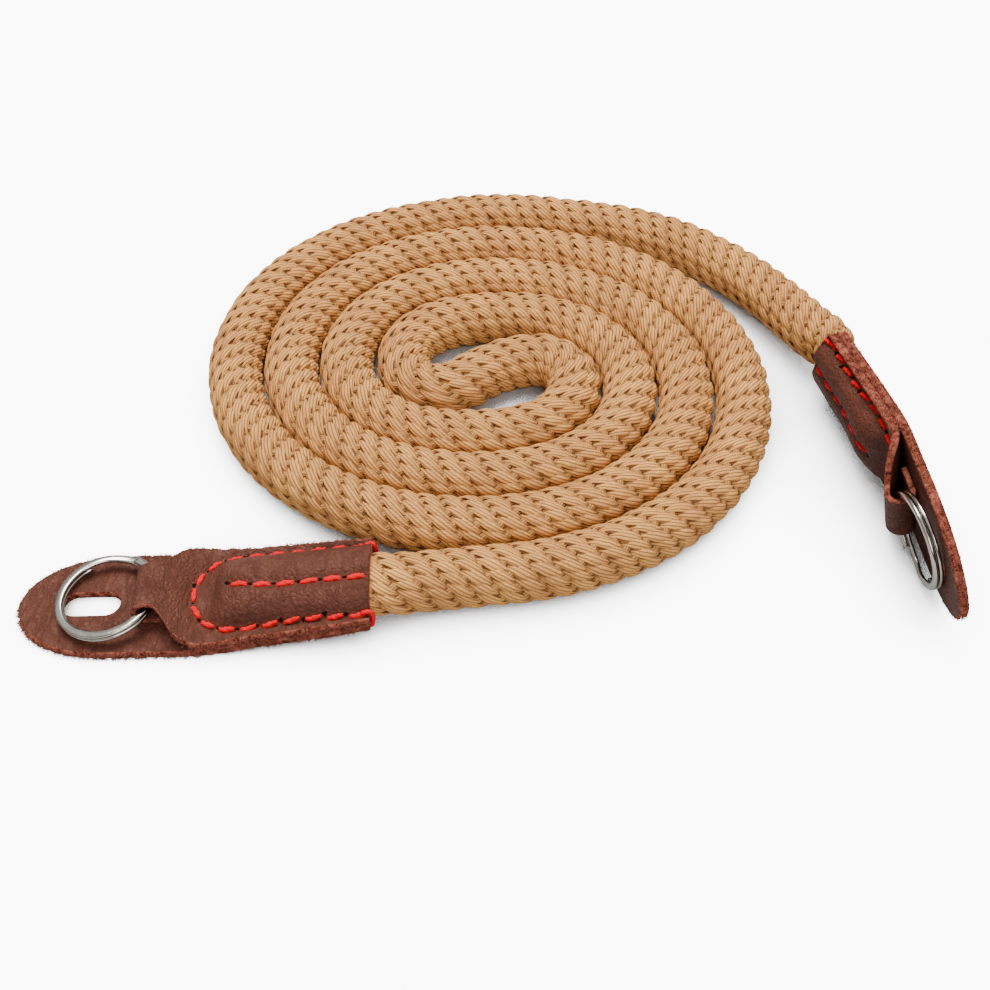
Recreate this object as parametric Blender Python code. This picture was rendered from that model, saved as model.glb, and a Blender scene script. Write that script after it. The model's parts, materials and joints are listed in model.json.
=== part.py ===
"""Camera strap: a braided rope lying in a flat double coil, with a stitched leather end and a split ring
at each of its two ends. Units are metres, +Z is up, and the strap lies on the plane z = 0.
"""
import math

import bmesh
import bpy
import numpy as np
from mathutils import Matrix, Vector

MM = 0.001

# Rope
ROPE_DIAMETER = 10.0 * MM
ROPE_SIDES_RESOLUTION = 3
SHARP_SHARE = 0.6
STRAIGHT_BEFORE_MOUTH = 5.0 * MM

# Coil: two arms wind outwards from an S in the middle, one turn of the other arm between them
COIL_CENTRE = Vector((0.1 * MM, 29.9 * MM))
COIL_CORE_RADIUS = 13.2 * MM
COIL_CORE_OVAL = 2.5 * MM
COIL_OVAL_TILT = math.radians(-11.0)
COIL_PITCH = 10.35 * MM
COIL_FAR_SLACK = 0.2 * MM
COIL_STEP = 2 * math.pi / 14
COIL_ARM_STEPS = 24

# The rope's route where it isn't coiled, chosen by hand: x and y from the coil's centre, z up
MIDDLE_ROUTE = (
    (-15.4 * MM, 2.2 * MM),
    (-13.2 * MM, -2.6 * MM),
    (-8.8 * MM, -4.3 * MM),
    (-1.2 * MM, 0.1 * MM),
    (6.1 * MM, 3.6 * MM),
    (11.5 * MM, 3.7 * MM),
    (15.3 * MM, 0.3 * MM),
)
LEFT_TAIL_ROUTE = (
    (-4.9 * MM, -47.3 * MM, 5.0 * MM),
)
RIGHT_TAIL_ROUTE = (
    (2.6 * MM, 48.4 * MM, 5.0 * MM),
    (16.5 * MM, 46.8 * MM, 5.0 * MM),
    (34.2 * MM, 42.0 * MM, 5.0 * MM),
    (49.4 * MM, 30.4 * MM, 5.2 * MM),
    (58.0 * MM, 17.5 * MM, 6.2 * MM),
    (62.6 * MM, 7.5 * MM, 7.7 * MM),
)

# Leather end
LEATHER = 1.55 * MM
NECK_LEATHER = 0.9 * MM
END_LENGTH = 56.8 * MM
END_WIDTH = 19.4 * MM
ROPE_IN_LEATHER = 25.0 * MM
SQUASHED_WIDTH = 11.0 * MM
SQUASHED_HEIGHT = 4.4 * MM
BACK_BULGE_SHARE = 0.3
SEAM_AT_MOUTH = 5.2 * MM
NECK_WIDTH = 8.4 * MM
PIVOT_FROM_MOUTH = 35.3 * MM
FLAP_LENGTH = 4.8 * MM
SLOT_LENGTH = 9.5 * MM
SLOT_WIDTH = 4.7 * MM
SLOT_FROM_TIP = 11.5 * MM
CLEARANCE = 0.15 * MM

# Split ring
RING_DIAMETER = 16.6 * MM
RING_WIRE_WIDTH = 1.3 * MM
RING_WIRE_HEIGHT = 0.7 * MM
RING_COIL_GAP = 0.1 * MM
RING_START_DEGREES = 135.0
RING_STEP_DEGREES = 30.0
RING_SEGMENT_DEGREES = 15.0
RING_RUNNING_CLEARANCE = 0.08 * MM

# Where the ends lie: mouth from the coil's centre on the floor plan, heading, roll about the strap, pitch
LEFT_MOUTH = (-18.1 * MM, -48.4 * MM)
LEFT_HEADING = math.radians(181.7)
LEFT_ROLL = 0.0
LEFT_PITCH = 0.0
RIGHT_MOUTH = (69.4 * MM, -0.4 * MM)
RIGHT_HEADING = math.radians(-86.2)
RIGHT_ROLL = math.radians(105.0)
RIGHT_PITCH = math.radians(0.7)

# Outline of a leather end: distance from the mouth as a share of the end's length,
# half width as a share of half the end's width
OUTLINE = (
    # along, half_width
    (0.000, 0.82),
    (0.110, 0.87),
    (0.330, 0.92),
    (0.440, 0.97),
    (0.540, 1.00),
    (0.720, 1.00),
    (0.790, 0.97),
    (0.850, 0.90),
    (0.905, 0.77),
    (0.955, 0.56),
    (0.985, 0.33),
    (1.000, 0.14),
)

# Shoulders of the front leaf: place between the rope's end and the pivot, share of the way from the
# full outline to the neck's width, share of the rise from the tab to the top of the loop
SHOULDER = (
    # place, narrowing, rise
    (0.00, 0.00, 0.00),
    (0.20, 0.06, 0.14),
    (0.40, 0.22, 0.40),
    (0.60, 0.56, 0.68),
    (0.76, 0.90, 0.85),
    (0.86, 1.00, 0.93),
    (1.00, 1.00, 1.00),
)

# Seam where the two leaves meet: place as a share of the rope's length in the leather, share of the
# way up from its level at the tab to its level at the mouth
SEAM = (
    # along, level
    (0.00, 1.00),
    (0.40, 0.57),
    (0.80, 0.17),
    (1.00, 0.00),
)

# Dome over the rope: place as a share of the rope's length in the leather, share of full height
DOME = (
    # along, height
    (0.00, 1.00),
    (0.30, 1.00),
    (0.60, 1.00),
    (0.78, 0.94),
    (0.90, 0.72),
    (0.97, 0.42),
    (1.02, 0.10),
    (1.08, 0.00),
)

DOME_COLUMNS = 6
DOME_WIDTH_LIMIT = 0.94
LOOP_STEPS = 6
ROPE_END_SIDES = 12
SLOT_END_STEPS = 6

COLOURS = {
    "rope": ((0.62, 0.40, 0.20), 0.9, 0.0),
    "leather": ((0.16, 0.055, 0.035), 0.55, 0.0),
    "ring": ((0.72, 0.70, 0.66), 0.25, 1.0),
}

HALF_LEATHER = LEATHER / 2
HALF_GAP = CLEARANCE / 2
TAB_SEAM = LEATHER + HALF_GAP
DOME_HALF_WIDTH = SQUASHED_WIDTH / 2 + CLEARANCE
RING_STACK = 2 * RING_WIRE_HEIGHT + RING_COIL_GAP
RING_RADIUS = (RING_DIAMETER - RING_WIRE_WIDTH) / 2
NECK_SAGITTA = RING_RADIUS - math.sqrt(RING_RADIUS ** 2 - (NECK_WIDTH / 2) ** 2)
PIVOT_TO_RING = RING_RADIUS - NECK_SAGITTA / 2
LOOP_BORE = math.hypot(NECK_SAGITTA / 2 + RING_WIRE_WIDTH / 2, RING_STACK / 2) + RING_RUNNING_CLEARANCE
LOOP_RADIUS = LOOP_BORE + NECK_LEATHER
PIVOT_LEVEL = LEATHER + CLEARANCE + LOOP_RADIUS


def clear_scene():
    """Remove whatever the file holds."""
    for item in list(bpy.data.objects):
        bpy.data.objects.remove(item, do_unlink=True)


def material(name):
    """Principled material with the colour, roughness and metallic value of one finish."""
    found = bpy.data.materials.get(name)
    if found:
        return found
    colour, roughness, metallic = COLOURS[name]
    made = bpy.data.materials.new(name)
    made.use_nodes = True
    shader = made.node_tree.nodes["Principled BSDF"]
    shader.inputs["Base Color"].default_value = (*colour, 1.0)
    shader.inputs["Roughness"].default_value = roughness
    shader.inputs["Metallic"].default_value = metallic
    return made


def end_frame(mouth, heading, roll, pitch):
    """Placement of a leather end: X from its mouth towards the tab, Z out of the front leaf.
    It is lifted until the lowest corner of its leather is on the floor.
    """
    turn = Matrix.Rotation(heading, 4, "Z") @ Matrix.Rotation(-pitch, 4, "Y") @ Matrix.Rotation(roll, 4, "X")
    corners = [point for ring in back_leaf_rings() + front_leaf_rings() for point in ring]
    lowest = min((turn @ Vector(point)).z for point in corners)
    return Matrix.Translation((mouth[0] + COIL_CENTRE.x, mouth[1] + COIL_CENTRE.y, -lowest)) @ turn


def interpolate(table, place):
    """Read the second column of a two-column table at a place of the first."""
    return float(np.interp(place, [row[0] for row in table], [row[1] for row in table]))


def coil_point(start, turned):
    """Centre of the rope in one arm of the coil, after it has turned this far from its start angle."""
    angle = start - turned
    oval = COIL_CORE_OVAL * math.cos(2 * (angle - COIL_OVAL_TILT))
    pitch = COIL_PITCH + COIL_FAR_SLACK * math.sin(angle)
    radius = COIL_CORE_RADIUS + oval + pitch * turned / math.pi
    return (radius * math.cos(angle), radius * math.sin(angle), ROPE_DIAMETER / 2)


def coil_arm(start):
    """Points of one arm, from the middle outwards."""
    return [coil_point(start, COIL_STEP * step) for step in range(1, COIL_ARM_STEPS + 1)]


def rope_route(left_frame, right_frame):
    """Points that the rope's centre passes through, from the left mouth to the right one."""
    centre = Vector((*COIL_CENTRE, 0.0))
    on_plan = list(reversed(LEFT_TAIL_ROUTE))
    on_plan += list(reversed(coil_arm(math.pi)))
    on_plan += [(x, y, ROPE_DIAMETER / 2) for x, y in MIDDLE_ROUTE]
    on_plan += coil_arm(0.0)
    on_plan += list(RIGHT_TAIL_ROUTE)
    mouth_gap = Vector((-2 * CLEARANCE, 0.0, SEAM_AT_MOUTH))
    straight = Vector((-STRAIGHT_BEFORE_MOUTH, 0.0, SEAM_AT_MOUTH))
    first = [left_frame @ mouth_gap, left_frame @ straight]
    last = [right_frame @ straight, right_frame @ mouth_gap]
    return first + [Vector(point) + centre for point in on_plan] + last


def spline_through(points):
    """Natural cubic spline: a function of the distance along the chords, and the knots' distances."""
    values = np.array([tuple(point) for point in points])
    steps = np.linalg.norm(np.diff(values, axis=0), axis=1)
    knots = np.concatenate([[0.0], np.cumsum(steps)])
    count = len(values)
    system = np.eye(count)
    right_side = np.zeros_like(values)
    for i in range(1, count - 1):
        system[i, i - 1:i + 2] = (steps[i - 1], 2 * (steps[i - 1] + steps[i]), steps[i])
        slope_change = (values[i + 1] - values[i]) / steps[i] - (values[i] - values[i - 1]) / steps[i - 1]
        right_side[i] = 6 * slope_change
    bends = np.linalg.solve(system, right_side)

    def at(distance):
        i = int(np.clip(np.searchsorted(knots, distance, side="right") - 1, 0, count - 2))
        before = (knots[i + 1] - distance) / steps[i]
        after = (distance - knots[i]) / steps[i]
        bow = (before ** 3 - before) * bends[i] + (after ** 3 - after) * bends[i + 1]
        return Vector(before * values[i] + after * values[i + 1] + bow * steps[i] ** 2 / 6)

    return at, knots


def rope_points(route):
    """The route's points with one more wherever the smooth curve between two of them turns sharply."""
    at, knots = spline_through(route)
    points = []
    for before, after in zip(knots[:-1], knots[1:]):
        middle = at((before + after) / 2)
        points.append(at(before))
        turn = (middle - at(before)).angle(at(after) - middle)
        if turn > SHARP_SHARE * COIL_STEP:
            points.append(middle)
    points.append(at(knots[-1]))
    return points


def make_rope(left_frame, right_frame):
    """The free stretch of the rope, from one leather mouth to the other."""
    points = rope_points(rope_route(left_frame, right_frame))
    curve = bpy.data.curves.new("rope", "CURVE")
    curve.dimensions = "3D"
    curve.bevel_depth = ROPE_DIAMETER / 2
    curve.bevel_resolution = ROPE_SIDES_RESOLUTION
    curve.use_fill_caps = True
    spline = curve.splines.new("POLY")
    spline.points.add(len(points) - 1)
    for knot, point in zip(spline.points, points):
        knot.co = (*point, 1.0)
    curve.materials.append(material("rope"))
    rope = bpy.data.objects.new("rope", curve)
    bpy.context.collection.objects.link(rope)


def solid_from_rings(name, rings, frame, finish):
    """One closed body lofted through rings of equal, even length, its ends closed by strips of quads."""
    shape = bmesh.new()
    rows = [[shape.verts.new(point) for point in ring] for ring in rings]
    for row, following in zip(rows[:-1], rows[1:]):
        for i in range(len(row)):
            j = (i + 1) % len(row)
            shape.faces.new((row[i], row[j], following[j], following[i]))
    count = len(rows[0])
    for row in (rows[0], rows[-1]):
        for i in range(count // 2 - 1):
            shape.faces.new((row[i], row[i + 1], row[count - 2 - i], row[count - 1 - i]))
    bmesh.ops.triangulate(shape, faces=shape.faces[:])
    bmesh.ops.recalc_face_normals(shape, faces=shape.faces[:])
    mesh = bpy.data.meshes.new(name)
    shape.to_mesh(mesh)
    shape.free()
    mesh.materials.append(material(finish))
    made = bpy.data.objects.new(name, mesh)
    made.matrix_world = frame
    bpy.context.collection.objects.link(made)
    return made


def outline_half_width(along):
    """Half width of a leather end at a distance from its mouth."""
    return END_WIDTH / 2 * interpolate(OUTLINE, along / END_LENGTH)


def seam_level(along):
    """Level of the seam between the leaves, above the outer face of the tab."""
    return TAB_SEAM + (SEAM_AT_MOUTH - TAB_SEAM) * interpolate(SEAM, along / ROPE_IN_LEATHER)


def dome_depths(along):
    """How far the hollow for the rope reaches above the seam and below it.
    The back leaf bulges less than the front one, and no lower than the tab's outer face.
    """
    hollow = (SQUASHED_HEIGHT + 2 * CLEARANCE) * interpolate(DOME, along / ROPE_IN_LEATHER)
    below = min(BACK_BULGE_SHARE * hollow, seam_level(along) - HALF_GAP - LEATHER)
    return hollow - below, below


def leaf_ring(along, level, tilt, thickness, half_width, height, side):
    """Section of a leaf: its outer face and then its inner face, across the strap and back.
    The leaf's middle is at a level above the plane of the leaves, and the dome lifts it by a height.
    """
    ring = []
    over = [math.pi / 2 * (i / DOME_COLUMNS - 1) for i in range(2 * DOME_COLUMNS + 1)]
    inner_level = level - thickness / 2
    for face, reach in ((1, DOME_HALF_WIDTH + thickness), (-1, DOME_HALF_WIDTH)):
        widest = min(reach, DOME_WIDTH_LIMIT * half_width)
        across = [(math.sin(angle) * widest, math.cos(angle)) for angle in over]
        columns = [(-half_width, 0.0)] + across + [(half_width, 0.0)]
        if face < 0:
            columns.reverse()
        for y, share in columns:
            flat = thickness / 2 * face
            domed = inner_level + share * (height + (thickness if face > 0 else 0.0)) - level
            lift = max(flat, domed) if height > 0 else flat
            shift = lift * side
            ring.append((along - math.sin(tilt) * shift, y, side * level + math.cos(tilt) * shift))
    return ring


def front_leaf_rings():
    """Sections of the front leaf: over the rope, a neck, a fold round the ring and a flap back."""
    sections = []
    for share, _ in DOME:
        place = share * ROPE_IN_LEATHER
        level = seam_level(place) + HALF_GAP + HALF_LEATHER
        sections.append((place, level, 0.0, LEATHER, outline_half_width(place), dome_depths(place)[0]))
    start, level = sections[-1][:2]
    neck = NECK_WIDTH / 2
    radius = LOOP_BORE + NECK_LEATHER / 2
    for share, narrowing, rise in SHOULDER[1:]:
        place = start + (PIVOT_FROM_MOUTH - start) * share
        full = outline_half_width(place)
        thin = LEATHER + (NECK_LEATHER - LEATHER) * share
        half_width = full + (neck - full) * narrowing
        height = level + (PIVOT_LEVEL + radius - level) * rise
        sections.append((place, height, 0.0, thin, half_width, 0.0))
    for step in range(1, LOOP_STEPS + 1):
        turned = math.pi * step / LOOP_STEPS
        x = PIVOT_FROM_MOUTH + radius * math.sin(turned)
        z = PIVOT_LEVEL + radius * math.cos(turned)
        sections.append((x, z, -turned, NECK_LEATHER, neck, 0.0))
    for share in (0.5, 1.0):
        x = PIVOT_FROM_MOUTH - FLAP_LENGTH * share
        sections.append((x, PIVOT_LEVEL - radius, -math.pi, NECK_LEATHER, neck, 0.0))
    return [leaf_ring(*section, 1) for section in sections]


def back_leaf_rings():
    """Sections of the back leaf: under the rope, then on past the front leaf as a flat tab."""
    end_of_dome = DOME[-1][0] * ROPE_IN_LEATHER
    places = [share * ROPE_IN_LEATHER for share, _ in DOME]
    places += [share * END_LENGTH for share, _ in OUTLINE if share * END_LENGTH > end_of_dome]
    rings = []
    for place in places:
        level = -(seam_level(place) - HALF_GAP - HALF_LEATHER)
        half_width = outline_half_width(place)
        rings.append(leaf_ring(place, level, 0.0, LEATHER, half_width, dome_depths(place)[1], -1))
    return rings


def make_front_leather(name, frame):
    """Front leaf with the loop that holds the ring."""
    return solid_from_rings(name, front_leaf_rings(), frame, "leather")


def make_back_leather(name, frame):
    """Back leaf, which runs on past the front one as a tab with a slot."""
    leaf = solid_from_rings(name, back_leaf_rings(), frame, "leather")
    cut_slot(leaf, name, frame)
    return leaf


def cut_slot(leaf, name, frame):
    """Cut the tab's round-ended slot with a hidden cutter."""
    middle = END_LENGTH - SLOT_FROM_TIP
    radius = SLOT_WIDTH / 2
    straight = SLOT_LENGTH / 2 - radius
    outline = []
    for side in (1, -1):
        for step in range(SLOT_END_STEPS + 1):
            angle = math.pi * step / SLOT_END_STEPS - math.pi / 2
            x = side * (straight + radius * math.cos(angle))
            outline.append((middle + x, side * radius * math.sin(angle)))
    rings = [[(x, y, level) for x, y in outline] for level in (-LEATHER, 2 * LEATHER)]
    cutter = solid_from_rings(name + "_slot_cutter", rings, frame, "leather")
    cutter.hide_render = True
    cutter.display_type = "WIRE"
    cut = leaf.modifiers.new("slot", "BOOLEAN")
    cut.operation = "DIFFERENCE"
    cut.solver = "EXACT"
    cut.object = cutter


def make_rope_end(name, frame):
    """Flattened end of the rope inside the leather."""
    rings = []
    for share, size in DOME[:-2]:
        place = share * (ROPE_IN_LEATHER - CLEARANCE)
        above, below = dome_depths(place)
        ring = []
        for step in range(ROPE_END_SIDES):
            angle = 2 * math.pi * step / ROPE_END_SIDES
            depth = (above if math.sin(angle) > 0 else below) - CLEARANCE
            y = SQUASHED_WIDTH / 2 * size * math.cos(angle)
            ring.append((place, y, seam_level(place) + depth * math.sin(angle)))
        rings.append(ring)
    return solid_from_rings(name, rings, frame, "rope")


def ring_frame(frame):
    """Placement of a ring: origin on the pivot, X towards the ring's centre, lying on the tab."""
    drop = PIVOT_LEVEL - (LEATHER + CLEARANCE + RING_STACK / 2)
    reach = PIVOT_TO_RING + RING_DIAMETER / 2
    lie = math.asin(drop / reach)
    return frame @ Matrix.Translation((PIVOT_FROM_MOUTH, 0.0, PIVOT_LEVEL)) @ Matrix.Rotation(lie, 4, "Y")


def make_split_ring(name, frame):
    """Flattened wire wound twice round, with a step from the lower coil to the upper one."""
    flat = 360.0 - RING_STEP_DEGREES
    rise = RING_WIRE_HEIGHT + RING_COIL_GAP
    rings = []
    count = round((360.0 + flat) / RING_SEGMENT_DEGREES)
    for i in range(count + 1):
        turned = (360.0 + flat) * i / count
        share = min(max((turned - flat) / RING_STEP_DEGREES, 0.0), 1.0)
        level = rise * (share - 0.5)
        angle = math.radians(turned + RING_START_DEGREES)
        ring = []
        for outwards, up in ((-1, -1), (1, -1), (1, 1), (-1, 1)):
            radius = RING_RADIUS + outwards * RING_WIRE_WIDTH / 2
            z = level + up * RING_WIRE_HEIGHT / 2
            ring.append((PIVOT_TO_RING + radius * math.cos(angle), radius * math.sin(angle), z))
        rings.append(ring)
    return solid_from_rings(name, rings, ring_frame(frame), "ring")


def make_end(side, frame):
    """All pieces of one leather end."""
    make_rope_end(side + "_rope_end", frame)
    make_front_leather(side + "_front_leather", frame)
    make_back_leather(side + "_back_leather", frame)
    make_split_ring(side + "_split_ring", frame)


def main():
    clear_scene()
    left = end_frame(LEFT_MOUTH, LEFT_HEADING, LEFT_ROLL, LEFT_PITCH)
    right = end_frame(RIGHT_MOUTH, RIGHT_HEADING, RIGHT_ROLL, RIGHT_PITCH)
    make_rope(left, right)
    make_end("left", left)
    make_end("right", right)


main()
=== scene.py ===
"""Camera strap on a pale floor: a braided cotton rope in a flat double coil, leather ends with red
stitching and nickel split rings. Units are metres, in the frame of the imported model.
"""
import json
import math

import bpy
import numpy as np
from mathutils import Matrix, Vector


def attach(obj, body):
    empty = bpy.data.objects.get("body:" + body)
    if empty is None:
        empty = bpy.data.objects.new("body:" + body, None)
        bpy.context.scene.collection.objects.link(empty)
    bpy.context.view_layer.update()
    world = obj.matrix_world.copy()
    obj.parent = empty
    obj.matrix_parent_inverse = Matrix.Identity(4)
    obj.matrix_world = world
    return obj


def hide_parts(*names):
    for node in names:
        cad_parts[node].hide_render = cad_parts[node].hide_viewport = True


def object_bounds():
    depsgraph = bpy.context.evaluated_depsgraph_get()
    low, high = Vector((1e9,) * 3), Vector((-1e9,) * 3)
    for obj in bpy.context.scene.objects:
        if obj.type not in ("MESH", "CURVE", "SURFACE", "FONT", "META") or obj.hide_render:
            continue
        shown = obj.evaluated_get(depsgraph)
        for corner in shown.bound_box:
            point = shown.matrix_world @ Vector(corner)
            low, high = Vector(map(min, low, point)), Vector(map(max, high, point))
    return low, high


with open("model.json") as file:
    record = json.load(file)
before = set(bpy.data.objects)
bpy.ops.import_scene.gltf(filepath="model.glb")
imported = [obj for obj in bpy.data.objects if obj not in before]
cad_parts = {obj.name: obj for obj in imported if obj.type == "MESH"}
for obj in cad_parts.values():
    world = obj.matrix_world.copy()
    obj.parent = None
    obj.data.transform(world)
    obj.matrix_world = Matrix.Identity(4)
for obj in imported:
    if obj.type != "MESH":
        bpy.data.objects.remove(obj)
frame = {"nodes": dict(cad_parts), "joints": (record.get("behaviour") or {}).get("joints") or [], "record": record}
cad_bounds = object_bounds()

bl_info = {
    "name": "Camera strap",
    "version": (1, 0, 0),
    "blender": (4, 5, 0),
    "location": "View3D > Sidebar > Strap",
    "description": "Builds a braided rope camera strap with stitched leather ends and split rings",
    "category": "Add Mesh",
}

MM = 0.001
SIDES = ("left", "right")

# Coil of the rope: two arms wind outwards from an S in the middle
COIL_CENTRE = (0.1 * MM, 29.9 * MM)
COIL_CORE_RADIUS = 13.2 * MM
COIL_CORE_OVAL = 2.5 * MM
COIL_OVAL_TILT = math.radians(-11.0)
COIL_PITCH = 10.35 * MM
COIL_FAR_SLACK = 0.2 * MM
COIL_STEP = 2 * math.pi / 14
COIL_ARM_STEPS = 24

# The rope's route where it isn't coiled: x and y from the coil's centre, z up
MIDDLE_ROUTE = (
    (-15.4 * MM, 2.2 * MM),
    (-13.2 * MM, -2.6 * MM),
    (-8.8 * MM, -4.3 * MM),
    (-1.2 * MM, 0.1 * MM),
    (6.1 * MM, 3.6 * MM),
    (11.5 * MM, 3.7 * MM),
    (15.3 * MM, 0.3 * MM),
)
LEFT_TAIL_ROUTE = (
    (-4.9 * MM, -47.3 * MM, 5.0 * MM),
)
RIGHT_TAIL_ROUTE = (
    (2.6 * MM, 48.4 * MM, 5.0 * MM),
    (16.5 * MM, 46.8 * MM, 5.0 * MM),
    (34.2 * MM, 42.0 * MM, 5.0 * MM),
    (49.4 * MM, 30.4 * MM, 5.2 * MM),
    (58.0 * MM, 17.5 * MM, 6.2 * MM),
    (62.6 * MM, 7.5 * MM, 7.7 * MM),
)
STRAIGHT_BEFORE_MOUTH = 5.0 * MM
MOUTH_GAP = 0.3 * MM
FLOOR_GAP = 0.05 * MM

# Leather end: sizes of the solids it dresses
END_LENGTH = 56.8 * MM
END_WIDTH = 19.4 * MM
ROPE_IN_LEATHER = 25.0 * MM
SQUASHED_WIDTH = 11.0 * MM
SQUASHED_HEIGHT = 4.4 * MM
BACK_BULGE_SHARE = 0.3
SEAM_AT_MOUTH = 5.2 * MM
NECK_WIDTH = 8.4 * MM
PIVOT_FROM_MOUTH = 35.3 * MM
FLAP_LENGTH = 4.8 * MM
SLOT_LENGTH = 9.5 * MM
SLOT_WIDTH = 4.7 * MM
SLOT_FROM_TIP = 11.5 * MM
CLEARANCE = 0.15 * MM
LEATHER = 1.55 * MM
NECK_LEATHER = 0.9 * MM

# Split ring
RING_DIAMETER = 16.6 * MM
RING_WIRE_WIDTH = 1.3 * MM
RING_WIRE_HEIGHT = 0.7 * MM
RING_COIL_GAP = 0.1 * MM
RING_START_DEGREES = 300.0
RING_STEP_DEGREES = 60.0
RING_RUNNING_CLEARANCE = 0.08 * MM

# Shares of the leather end's sizes, as in the solids
OUTLINE = (
    # along, half_width
    (0.000, 0.82),
    (0.110, 0.87),
    (0.330, 0.92),
    (0.440, 0.97),
    (0.540, 1.00),
    (0.720, 1.00),
    (0.790, 0.97),
    (0.850, 0.90),
    (0.905, 0.77),
    (0.955, 0.56),
    (0.985, 0.33),
    (1.000, 0.08),
)
SHOULDER = (
    # place, narrowing, rise
    (0.00, 0.00, 0.00),
    (0.20, 0.06, 0.14),
    (0.40, 0.22, 0.40),
    (0.60, 0.56, 0.68),
    (0.76, 0.90, 0.85),
    (0.86, 1.00, 0.93),
    (1.00, 1.00, 1.00),
)
SEAM = (
    # along, level
    (0.00, 1.00),
    (0.40, 0.57),
    (0.80, 0.17),
    (1.00, 0.00),
)
DOME = (
    # along, height
    (0.00, 1.00),
    (0.30, 1.00),
    (0.60, 1.00),
    (0.78, 0.94),
    (0.90, 0.72),
    (0.97, 0.42),
    (1.02, 0.10),
    (1.08, 0.00),
)

# Stitching, in a leather end's own plane: along from the mouth, and across
RIM_STITCHES = (
    (0.4 * MM, -6.7 * MM),
    (4.5 * MM, -7.0 * MM),
    (17.3 * MM, -7.3 * MM),
    (22.4 * MM, -7.3 * MM),
    (25.6 * MM, -6.4 * MM),
    (27.9 * MM, -3.7 * MM),
    (28.7 * MM, 0.3 * MM),
    (27.7 * MM, 3.9 * MM),
    (25.2 * MM, 6.2 * MM),
    (20.3 * MM, 6.9 * MM),
    (11.0 * MM, 6.5 * MM),
    (4.6 * MM, 6.7 * MM),
    (0.2 * MM, 6.8 * MM),
)
MIDDLE_STITCHES = (
    (0.3 * MM, 1.5 * MM),
    (6.0 * MM, 1.3 * MM),
    (12.0 * MM, 1.2 * MM),
    (18.8 * MM, 1.0 * MM),
    (22.6 * MM, 0.1 * MM),
)

# Braid: floats lie on a lattice, long strands run one way over short cross strands
WALES = 14
LATTICE_TURNS = 4
LONG_STRANDS = 22
CROSS_STRANDS = 10
LONG_PIECES = 4
CROSS_PIECES = 2

TAB_SEAM = LEATHER + CLEARANCE / 2
RING_STACK = 2 * RING_WIRE_HEIGHT + RING_COIL_GAP
RING_RADIUS = (RING_DIAMETER - RING_WIRE_WIDTH) / 2
NECK_SAGITTA = RING_RADIUS - math.sqrt(RING_RADIUS ** 2 - (NECK_WIDTH / 2) ** 2)
PIVOT_TO_RING = RING_RADIUS - NECK_SAGITTA / 2
LOOP_BORE = math.hypot(NECK_SAGITTA / 2 + RING_WIRE_WIDTH / 2, RING_STACK / 2) + RING_RUNNING_CLEARANCE
LOOP_RADIUS = LOOP_BORE + NECK_LEATHER
PIVOT_LEVEL = LEATHER + CLEARANCE + LOOP_RADIUS


# Helpers for tables, curves and meshes

def smooth_table(table, place, column=1):
    """Read a column of a table with a smooth curve that doesn't overshoot its rows."""
    x = np.array([row[0] for row in table])
    y = np.array([row[column] for row in table])
    slope = np.diff(y) / np.diff(x)
    tangent = np.zeros_like(y)
    same = slope[:-1] * slope[1:] > 0
    tangent[1:-1][same] = 2 / (1 / slope[:-1][same] + 1 / slope[1:][same])
    tangent[0] = slope[0]
    tangent[-1] = slope[-1]
    place = np.clip(place, x[0], x[-1])
    i = np.clip(np.searchsorted(x, place, side="right") - 1, 0, len(x) - 2)
    width = x[i + 1] - x[i]
    t = (place - x[i]) / width
    start = (1 + 2 * t) * (1 - t) ** 2 * y[i] + t * (1 - t) ** 2 * width * tangent[i]
    return start + t ** 2 * (3 - 2 * t) * y[i + 1] + t ** 2 * (t - 1) * width * tangent[i + 1]


def spline_through(points):
    """Natural cubic spline: a function of the distance along the chords, and its full length."""
    values = np.array([tuple(point) for point in points])
    steps = np.linalg.norm(np.diff(values, axis=0), axis=1)
    knots = np.concatenate([[0.0], np.cumsum(steps)])
    count = len(values)
    system = np.eye(count)
    right_side = np.zeros_like(values)
    for i in range(1, count - 1):
        system[i, i - 1:i + 2] = (steps[i - 1], 2 * (steps[i - 1] + steps[i]), steps[i])
        slope_change = (values[i + 1] - values[i]) / steps[i] - (values[i] - values[i - 1]) / steps[i - 1]
        right_side[i] = 6 * slope_change
    bends = np.linalg.solve(system, right_side)

    def at(distance):
        i = np.clip(np.searchsorted(knots, distance, side="right") - 1, 0, count - 2)
        before = ((knots[i + 1] - distance) / steps[i])[:, None]
        after = ((distance - knots[i]) / steps[i])[:, None]
        bow = (before ** 3 - before) * bends[i] + (after ** 3 - after) * bends[i + 1]
        return before * values[i] + after * values[i + 1] + bow * steps[i][:, None] ** 2 / 6

    return at, knots[-1]


def even_line(points, spacing):
    """Points at an even spacing along a smooth curve through the given ones."""
    at, length = spline_through(points)
    fine = at(np.linspace(0.0, length, 20 * int(length / spacing) + 50))
    run = np.concatenate([[0.0], np.cumsum(np.linalg.norm(np.diff(fine, axis=0), axis=1))])
    places = np.linspace(0.0, run[-1], int(round(run[-1] / spacing)) + 1)
    return np.stack([np.interp(places, run, fine[:, axis]) for axis in range(fine.shape[1])], axis=1)


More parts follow.
